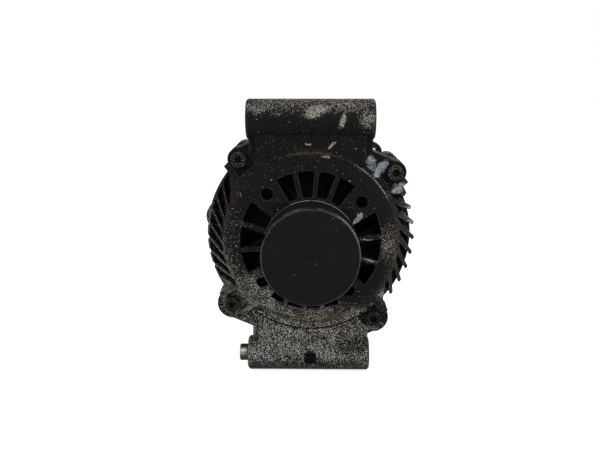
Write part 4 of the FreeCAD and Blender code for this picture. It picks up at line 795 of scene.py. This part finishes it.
# The clean places of the front bracket, as seen in the photograph: all below the pulley and to its left is grey,
# all above is black with a few rubbed spots, and the upper barrel's crest is corroded pale.
BRACKET_CLEAN = (
    Patch((0, 0, 8), (64, 40, 26), 0.61, 0.3),
    Patch((-34, 0, 40), (30, 30, 25), 0.58, 0.45),
    Patch((-58, 10, 62), (16, 30, 30), 0.5, 0.5),
    Patch((4, -6, 30), (42, 20, 12), 0.54, 0.5),
    Patch((51, -3, 81), (7, 20, 15), 0.47, 0.5),
    Patch((-50, 0, 88), (12, 20, 22), 0.28, 0.6),
    Patch((0, -6, 173), (60, 16, 7), 0.38, 0.5),
    Patch((-26, -12, 170.5), (24, 12, 5), 0.5, 0.5),
    Patch((22, -12, 171), (20, 12, 5), 0.5, 0.5),
    Patch((36.5, -8, 162), (6, 14, 6.5), 0.78, 0.6),
    Patch((0, 20, 176), (70, 30, 8), 0.42, 0.4),
    Patch((46, 4, 46), (8, 10, 8), 0.8, 0.5),
    Patch((66, 10, 98), (9, 20, 16), 0.3, 0.5),
    Patch((-72, 16, 95), (8, 14, 14), 0.6, 0.5),
)
BRACKET_BRIGHT = (
    Patch((4, -14, 168.5), (7.5, 12, 3.2), 1.0, 0.7, 12),
    Patch((0.5, -16, 165.5), (5, 10, 2.6), 0.9, 0.8),
    Patch((20.2, -14, 161.5), (1.7, 9, 4.8), 0.95, 0.6, -15),
    Patch((13.4, -8, 145.3), (3.7, 8, 1.0), 1.0, 0.5, 42),
    Patch((-1.9, -8, 146.4), (2.3, 8, 0.6), 0.95, 0.4),
    Patch((9.5, -9, 138.3), (3, 4, 0.8), 0.8, 0.5),
    Patch((39.6, 2, 133.6), (3.3, 20, 5.6), 0.76, 0.2, 14),
    Patch((45.8, 0, 129.6), (7.2, 20, 3.5), 0.76, 0.2, 47),
    Patch((57.8, 4, 115.4), (7.0, 20, 4.4), 0.74, 0.25, 40),
    # painted highlight: the upper right spoke is made fully bare and bright
    Patch((30.0, -10, 98.2), (6.6, 9, 2.5), 2.0, 0.1, 50),
    Patch((36.5, -11, 84.8), (5.6, 8, 0.8), 1.0, 0.5),
    Patch((38.2, -11, 70.8), (5.8, 8, 0.7), 0.9, 0.5, -19),
    # painted highlights: the next two patches brighten the right fins' edges
    Patch((68, 12, 101), (6, 14, 1.8), 0.85, 0.5, -30),
    Patch((68, 12, 93), (5, 14, 1.4), 0.8, 0.5, -28),
)
BRACKET_BROWN = (
    Patch((8, -2, 32), (20, 16, 6), 0.9, 0.5),
    Patch((51, -3, 80), (8, 12, 15), 0.55, 0.5),
    Patch((20, -12, 172), (44, 14, 8), 0.35, 0.6),
    Patch((0, -9, 141), (14, 10, 3), 0.4, 0.6),
)
BRACKET_PALE = (
    Patch((43, 4, 133), (12, 20, 14), 0.85, 0.4),
    Patch((58, 6, 118), (9, 20, 8), 0.85, 0.4),
    # painted highlight: the bluish pale on the right fins stands for their highlights
    Patch((66, 14, 100), (10, 14, 14), 0.6, 0.5),
    Patch((-22, -12, 4), (20, 14, 5), 0.4, 0.5),
)
# Soot on the front bracket, and painted shade: the third patch darkens the lower barrel towards its bottom.
BRACKET_SOOT_AND_SHADE = (
    Patch((0, -9, 0), (5.2, 8, 5.2), 0.8, 0.12),
    Patch((29, -12, 8.5), (11, 9, 5), 0.5, 0.8),
    # painted shade: the lower barrel's underside, darker towards its bottom
    Patch((0, -2, -8.5), (60, 14, 7), 0.6, 0.8),
    Patch((0, -20, 83), (33, 12, 33), 0.5, 0.3),
    Patch((0, -4, 128), (60, 30, 30), 0.55, 0.4),
)
BRACKET_EDGES = (
    Patch((0, 0, 83), (300, 300, 300), 0.3),
    # painted highlights: the right fins' edges are made bare and bright
    Patch((64, 10, 92), (14, 24, 26), 1.0, 0.4),
    Patch((-66, 14, 84), (14, 24, 42), 1.0, 0.5),
    Patch((60, 8, 124), (20, 24, 16), 0.7, 0.5),
    Patch((40, -10, 78), (14, 10, 14), 0.8, 0.5),
)
CREASE_RUBBED = (
    Patch((41, -9, 124), (15, 12, 14), 0.95, 0.5),
    Patch((57, -9, 78), (8, 12, 34), 0.12, 0.6),
    Patch((4, -9, 141), (24, 10, 5), 0.3, 0.6),
)
REAR_CLEAN = (
    Patch((0, 70, 30), (90, 70, 34), 0.62, 0.5),
    Patch((0, 70, 110), (95, 60, 60), 0.4, 0.5),
)
REAR_BRIGHT = (Patch((-66, 30, 96), (5, 12, 12), 0.7, 0.5),)
REAR_BROWN = (Patch((0, 60, 83), (100, 40, 90), 0.35, 0.6),)
REAR_PALE = (Patch((-60, 60, 50), (40, 40, 40), 0.4, 0.5),)
REAR_SOOTY = (Patch((0, 80, 120), (40, 30, 20), 0.4, 0.5),)
REAR_EDGES = (Patch((0, 60, 83), (300, 300, 300), 0.6),)
# Painted shade on the bush: dark bands above and below leave a band bright between them, which stands for its
# highlight; a thin slice at its end is darker too.
BUSH_PAINTED_SHADE = (
    Patch((-40, 0, 6.9), (30, 9, 2.6), 0.92, 0.3),
    Patch((-40, 0, -2.6), (30, 9, 4.0), 0.9, 0.4),
    Patch((-43.5, 0, 0), (1.0, 9, 9), 0.7, 0.5),
)
BOLT_FILM = (Patch((0, 0, 83), (300, 300, 300), 0.26), Patch((46, 0, 134), (12, 40, 12), 0.46))
BOLT_EDGES = (Patch((0, 0, 83), (300, 300, 300), 1.0),)


class Surface(Enum):
    """The named finishes of this alternator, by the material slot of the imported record."""

    front_casting = DirtyCasting(
        "front bracket casting, oily and speckled",
        BRACKET_CLEAN, BRACKET_BRIGHT, BRACKET_BROWN, BRACKET_PALE, BRACKET_SOOT_AND_SHADE, BRACKET_EDGES, CREASE_RUBBED,
    )
    rear_casting = DirtyCasting(
        "rear bracket casting, dirty",
        REAR_CLEAN, REAR_BRIGHT, REAR_BROWN, REAR_PALE, REAR_SOOTY, REAR_EDGES, NOWHERE,
    )
    bolt_steel = DirtyCasting(
        "phosphated bolt steel under oil", BOLT_FILM, NOWHERE, BOLT_FILM, NOWHERE, NOWHERE, BOLT_EDGES, NOWHERE,
        metal="#4b463e", shine="#a79f90", rust="#1b1512", crumb_gap_mm=2.6,
    )
    # the bush's dirt colour also paints its shade and, by leaving a band bright, its highlight
    bush_steel = TurnedSteel("ground bush steel", "#8f8b84", "#120d09", 0.9, 0.25, (1.0, 0.0, 0.0), 0.9, BUSH_PAINTED_SHADE)
    lamination_steel = Laminations("stacked electrical sheet")
    winding_copper = Winding("varnished copper wire")
    field_copper = Winding("field coil wire", "#8a4a26", "#3a1a0d", seen=(Patch((0, 35, 83), (60, 40, 60), 1.0),))
    ring_copper = TurnedSteel("brush-polished ring copper", "#b87a52", "#2b1a12", 0.3, 0.22)
    diode_copper = PlatedSteel("nickelled diode copper", "#b5aca0", "#6a5340", 0.9, 0.3, 0.4)
    pin_brass = PlatedSteel("tinned pin brass", "#b9b29a", "#7d6b3a", 0.9, 0.3, 0.3)
    bearing_steel = TurnedSteel("ground bearing steel", "#b9bcbd", "#1d1a16", 0.35, 0.18)
    cage_plastic = Moulding("moulded cage polyamide", "#6b5a40", "#8d8272", 0.2)
    seal_rubber = Moulding("moulded seal rubber", "#151414", "#3d3a36", 0.6, 0.4, 0.75)
    plate_steel = PlatedSteel("zinc-plated retainer steel", "#8a8b88", "#33302b", 0.8, 0.38, 0.6)
    screw_steel = PlatedSteel("zinc-plated screw steel", "#9c9b95", "#3c362d", 0.85, 0.34, 0.55)
    sleeve_plastic = Moulding("moulded sleeve polyamide", "#1c1b1a", "#55524c", 0.3)
    shaft_steel = TurnedSteel("ground shaft steel", "#a9aaaa", "#2a251f", 0.5, 0.3)
    pole_iron = PlatedSteel("forged pole iron, thinly painted", "#1f1e1d", "#1c120c", 0.2, 0.6, 0.6, 0.12)
    bobbin_plastic = Moulding("moulded bobbin polyamide", "#3a342c", "#6d675c", 0.3)
    fan_steel = PlatedSteel("pressed fan sheet", "#1a1a19", "#0c0c0b", 0.1, 0.7, 0.7, 0.08)
    pulley_steel = GrimyPulley("turned pulley steel under belt dust")
    cap_plastic = CapMoulding("smooth cap polyamide")
    sink_aluminium = PlatedSteel("pressed heat-sink aluminium", "#b3b3b0", "#5a5650", 0.85, 0.4, 0.4)
    board_plastic = Moulding("moulded board thermoset", "#161615", "#5f5c56", 0.45)
    stud_steel = TurnedSteel("plated stud steel", "#b3ab98", "#4a3b28", 0.5, 0.3)
    brush_carbon = Moulding("pressed brush carbon", "#1d1c1c", "#6b4a38", 0.5, 0.4, 0.5)
    spring_steel = TurnedSteel("spring wire steel", "#9a9b9b", "#2b2622", 0.3, 0.3)
    cover_plastic = Moulding("moulded cover polyamide, dusty", "#191a1b", "#6a655c", 0.75, 0.8, 0.62)


class Paintbox:
    """Makes each finish's material once and hands it out."""

    def __init__(self) -> None:
        """Start with no materials."""
        self.made: dict[str, bpy.types.Material] = {}

    def get(self, slot: str) -> bpy.types.Material:
        """The material of a slot, made at its first use."""
        if slot not in self.made:
            self.made[slot] = Surface[slot].value.material()
        return self.made[slot]


# a tube's end ring is this small, which closes the tube
END_RADIUS = 0.001


def mesh_piece(name: str, points: np.ndarray, faces: np.ndarray, smooth: bool = True) -> bpy.types.Object:
    """Put arrays into a new object at the origin.

    Args:
        name: the piece's name.
        points: N by 3 places in the row frame, in millimetres.
        faces: M by 4 corner numbers, counterclockwise seen from outside.
        smooth: whether the faces are shaded smooth.

    Returns:
        The new object.
    """
    mesh = bpy.data.meshes.new(name)
    mesh.from_pydata((points * MM).tolist(), [], faces.tolist())
    mesh.polygons.foreach_set("use_smooth", np.full(len(faces), smooth))
    mesh.update()
    piece = bpy.data.objects.new(name, mesh)
    bpy.context.scene.collection.objects.link(piece)
    return piece


def grid_faces(rows: int, columns: int) -> np.ndarray:
    """Faces of a grid that closes on itself along its columns.

    Args:
        rows: points along the path.
        columns: points round it.

    Returns:
        Corner numbers, one row of four for each face.
    """
    row = np.arange(rows - 1)[:, None] * columns
    column = np.arange(columns)[None, :]
    following = (column + 1) % columns
    corners = (row + column, row + following, row + columns + following, row + columns + column)
    return np.stack(corners, axis=-1).reshape(-1, 4)


def tubes(paths: np.ndarray, radius: float, sides: int) -> tuple[np.ndarray, np.ndarray]:
    """Carry a round section along many paths at once.

    Each ring of points lies in the plane across the path: centre + radius * (cos a * normal + sin a * binormal).

    Args:
        paths: wires by steps by 3, in millimetres.
        radius: the section's radius.
        sides: points round the section.

    Returns:
        Points and faces of all the tubes; each tube's ends are closed by the shrinking of its end rings.
    """
    ahead = np.gradient(paths, axis=1)
    ahead /= np.linalg.norm(ahead, axis=-1, keepdims=True)
    shaft = np.array([0.0, 0.0, SHAFT_HEIGHT])
    outward = (paths - shaft) * np.array([1.0, 0.0, 1.0])
    binormal = np.cross(ahead, outward)
    binormal /= np.linalg.norm(binormal, axis=-1, keepdims=True)
    normal = np.cross(binormal, ahead)
    angle = np.linspace(0, 2 * math.pi, sides, endpoint=False)
    size = np.full(paths.shape[1], radius)
    size[[0, -1]] = END_RADIUS
    ring = np.cos(angle)[:, None] * normal[:, :, None] + np.sin(angle)[:, None] * binormal[:, :, None]
    points = paths[:, :, None] + size[None, :, None, None] * ring
    one = grid_faces(paths.shape[1], sides)[:, ::-1]
    offset = np.arange(len(paths))[:, None, None] * (paths.shape[1] * sides)
    return points.reshape(-1, 3), (one[None] + offset).reshape(-1, 4)


@dataclass
class EndTurns:
    """The wire loops of the stator winding, which show between the louvres and through the rear gaps."""

    paint: Paintbox
    slots: int = 36
    span: int = 3
    wires: int = 4
    wire_radius: float = 0.62
    steps: int = 26
    sides: int = 7
    inner: float = 54.2
    outer: float = 61.4
    front_face: float = 13.0
    rear_face: float = 49.0
    reach: float = 10.4
    fullness: float = 0.55
    fan_angle: float = 0.052
    fan_radius: float = 0.4
    fan_reach: float = 1.2
    wobble: float = 0.35
    wobble_steps: tuple[float, float] = (2.7, 1.9)
    wobble_across: float = 0.15
    wobble_reach: float = 0.5

    def loops(self, face: float, direction: float) -> np.ndarray:
        """Paths of the loops on one side of the core.

        With u from 0 to 1 along a loop, the angle runs from one slot to the slot `span` further, the radius
        climbs from the inner to the outer layer, and the loop stands out by reach * sin(pi u) ^ fullness. The
        wires of a slot fan out in angle, radius and reach, and a sine of slot and wire makes them uneven.

        Args:
            face: the row's y of the core's end face.
            direction: -1 towards the pulley, 1 away from it.

        Returns:
            Wires by steps by 3.
        """
        u = np.linspace(0, 1, self.steps)[None, None, :]
        slot = np.arange(self.slots)[:, None, None]
        wire = np.arange(self.wires)[None, :, None]
        spread = wire / (self.wires - 1) - 0.5
        wobble = self.wobble * np.sin(slot * self.wobble_steps[0] + wire * self.wobble_steps[1])
        angle = 2 * np.pi / self.slots * (slot + self.span * u) + spread * self.fan_angle
        climb = (self.outer - self.inner) * (0.5 - 0.5 * np.cos(np.pi * u))
        radius = self.inner + climb + self.fan_radius * spread + self.wobble_across * wobble
        reach = self.reach - self.fan_reach * (spread + 0.5) + self.wobble_reach * wobble
        x = radius * np.cos(angle)
        y = face + direction * reach * np.sin(np.pi * u) ** self.fullness
        z = radius * np.sin(angle) + SHAFT_HEIGHT
        return np.stack((x, y, z), axis=-1).reshape(-1, self.steps, 3)

    def build(self) -> list[bpy.types.Object]:
        """Make the front and rear loops, riding on the housing over the plain solid of the winding."""
        pieces = []
        ends = (("front_end_turns", self.front_face, -1.0), ("rear_end_turns", self.rear_face, 1.0))
        for name, face, direction in ends:
            points, faces = tubes(self.loops(face, direction), self.wire_radius, self.sides)
            piece = mesh_piece(name, points, faces)
            piece.data.materials.append(self.paint.get("winding_copper"))
            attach(piece, "housing")
            pieces.append(piece)
        return pieces


@dataclass
class CakedDirt:
    """Oil and dust caked in an arc on the front corner of the rim, by default behind the left side's louvres.

    A lump wave holds the turns of its sine along the arc, those round the section, and its share.
    """

    paint: Paintbox
    name: str = "caked_dirt"
    first_angle: float = 123.0
    last_angle: float = 217.0
    ring_radius: float = 68.2
    station: float = 11.2
    across: float = 2.1
    deep: float = 1.9
    lump: float = 0.22
    lump_waves: tuple[tuple[int, int, float], ...] = ((61, 2, 1.0), (97, -1, 1.0), (23, 3, 0.7))
    end_gap: float = 0.0005
    steps: int = 180
    sides: int = 18

    def build(self) -> bpy.types.Object:
        """Make the cake.

        It is an elliptic section carried along an arc round the shaft. The section's size is multiplied by
        1 + lump / 2 * (the sines of the lump waves added up), and it closes nearly to a point at both ends by
        the square root of sin(pi u), with u from 0 to 1 along the arc.

        Returns:
            The new piece, riding on the housing.
        """
        u = np.linspace(0, 1, self.steps)[:, None]
        v = np.linspace(0, 2 * np.pi, self.sides, endpoint=False)[None, :]
        angle = np.radians(self.first_angle + (self.last_angle - self.first_angle) * u)
        lumps = sum(share * np.sin(turns * angle + twist * v) for turns, twist, share in self.lump_waves)
        size = (1 + self.lump / 2 * lumps) * np.sqrt(np.sin(np.pi * np.clip(u, self.end_gap, 1 - self.end_gap)))
        radius = self.ring_radius + self.across * size * np.cos(v)
        x = radius * np.cos(angle)
        z = radius * np.sin(angle) + SHAFT_HEIGHT
        y = self.station + self.deep * size * np.sin(v)
        points = np.stack((x, y, z), axis=-1).reshape(-1, 3)
        piece = mesh_piece(self.name, points, grid_faces(self.steps, self.sides))
        piece.data.materials.append(self.paint.get("front_casting"))
        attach(piece, "housing")
        return piece


@dataclass
class CarriedNodes:
    """Dresses every CAD node in its slot's finish."""

    paint: Paintbox

    def dress(self) -> int:
        """Assign the finishes.

        Returns:
            How many nodes were dressed.
        """
        slots = {part["node"]: part["material_slot"] for part in FRAME["record"]["subparts"]}
        for name, node in FRAME["nodes"].items():
            node.data.materials.clear()
            node.data.materials.append(self.paint.get(slots[name]))
        return len(slots)


@dataclass(frozen=True)
class Lamp:
    """A large square lamp, with its place and its side in millimetres and its power in watts."""

    name: str
    place: Triple
    side: float
    power: float


@dataclass
class Studio:
    """Pale floor and surroundings, soft lamps and the photograph's viewpoint."""

    camera_place: Triple = (0.0, -466.0, 192.7)
    looking: Triple = (-0.015, 0.977, -0.213)
    focal_px: float = 708.3
    sensor_mm: float = 36.0
    clip_mm: float = 10.0
    floor_drop: float = 0.3
    floor_half: float = 4000.0
    lit_point: Triple = (0.0, 30.0, SHAFT_HEIGHT)
    lamps: tuple[Lamp, ...] = (
        Lamp("key", (-420.0, -620.0, 620.0), 500.0, 3.0),
        Lamp("fill", (520.0, -520.0, 380.0), 500.0, 2.0),
        Lamp("back", (260.0, 480.0, 700.0), 420.0, 3.0),
    )
    world_light: float = 0.3
    paper: str = "#e6e6e6"
    paper_glow: float = 0.78

    def build(self) -> None:
        """Set up everything around the object."""
        self.add_camera()
        self.add_lamps()
        self.add_world()
        self.add_floor()
        bpy.context.scene.view_settings.view_transform = "Standard"

    def add_camera(self) -> None:
        """A close camera a little above the shaft, as the photograph was taken."""
        camera = bpy.data.cameras.new("camera")
        camera.sensor_width = self.sensor_mm
        camera.lens = self.focal_px / IMAGE_WIDTH_PX * self.sensor_mm
        camera.clip_start = self.clip_mm * MM
        item = bpy.data.objects.new("camera", camera)
        item.location = Vector(self.camera_place) * MM
        item.rotation_euler = Vector(self.looking).to_track_quat("-Z", "Y").to_euler()
        bpy.context.scene.collection.objects.link(item)
        bpy.context.scene.camera = item

    def add_lamps(self) -> None:
        """Large square lamps aimed at the middle of the object."""
        for lamp in self.lamps:
            light = bpy.data.lights.new(lamp.name, "AREA")
            light.size = lamp.side * MM
            light.energy = lamp.power
            item = bpy.data.objects.new(lamp.name, light)
            item.location = Vector(lamp.place) * MM
            item.rotation_euler = (Vector(self.lit_point) - Vector(lamp.place)).to_track_quat("-Z", "Y").to_euler()
            bpy.context.scene.collection.objects.link(item)

    def white_where_seen(self, tree: Tree) -> Socket:
        """1 where the ray comes from the camera, a gloss or a clear surface."""
        path = add_node(tree, "LightPath")
        rays = [path.outputs[f"Is {kind} Ray"] for kind in ("Camera", "Glossy", "Transmission")]
        return folded(tree, "MAXIMUM", rays)

    def add_world(self) -> None:
        """White surroundings that light the object less than they show."""
        world = bpy.data.worlds.new("surroundings")
        tree = empty_tree(world)
        strength = socket(tree, "MapRange", {"Value": self.white_where_seen(tree), "To Min": self.world_light})
        background = socket(tree, "Background", {"Color": WHITE, "Strength": strength})
        add_node(tree, "OutputWorld", {0: background})
        bpy.context.scene.world = world

    def add_floor(self) -> None:
        """A white floor just under the object that keeps a faint shadow."""
        low = CAD_BOX[0][2] / MM - self.floor_drop
        half = self.floor_half
        corners = np.array([(-half, -half, low), (half, -half, low), (half, half, low), (-half, half, low)])
        floor = mesh_piece("floor", corners, np.array([[0, 1, 2, 3]]), smooth=False)
        material = bpy.data.materials.new("white paper")
        tree = empty_tree(material)
        paper = socket(tree, "BsdfDiffuse", {"Color": linear(self.paper)})
        strength = socket(tree, "MapRange", {"Value": self.white_where_seen(tree), "To Max": self.paper_glow})
        glow = socket(tree, "Emission", {"Color": WHITE, "Strength": strength})
        add_node(tree, "OutputMaterial", {0: socket(tree, "AddShader", {0: paper, 1: glow})})
        floor.data.materials.append(material)


def main() -> None:
    """Build the classes in order and report each piece."""
    logging.basicConfig(level=logging.INFO, format="%(name)s: %(message)s")
    Studio().build()
    paint = Paintbox()
    LOG.info("dressed %d nodes", CarriedNodes(paint).dress())
    corner = CakedDirt(
        paint, "corner_dirt", first_angle=22.0, last_angle=37.5, ring_radius=69.0, station=11.6, across=2.3, deep=1.7,
        steps=60,
    )
    for piece in [*EndTurns(paint).build(), CakedDirt(paint).build(), corner.build()]:
        LOG.info("%s has %d faces", piece.name, len(piece.data.polygons))


if __name__ == "__main__":
    main()
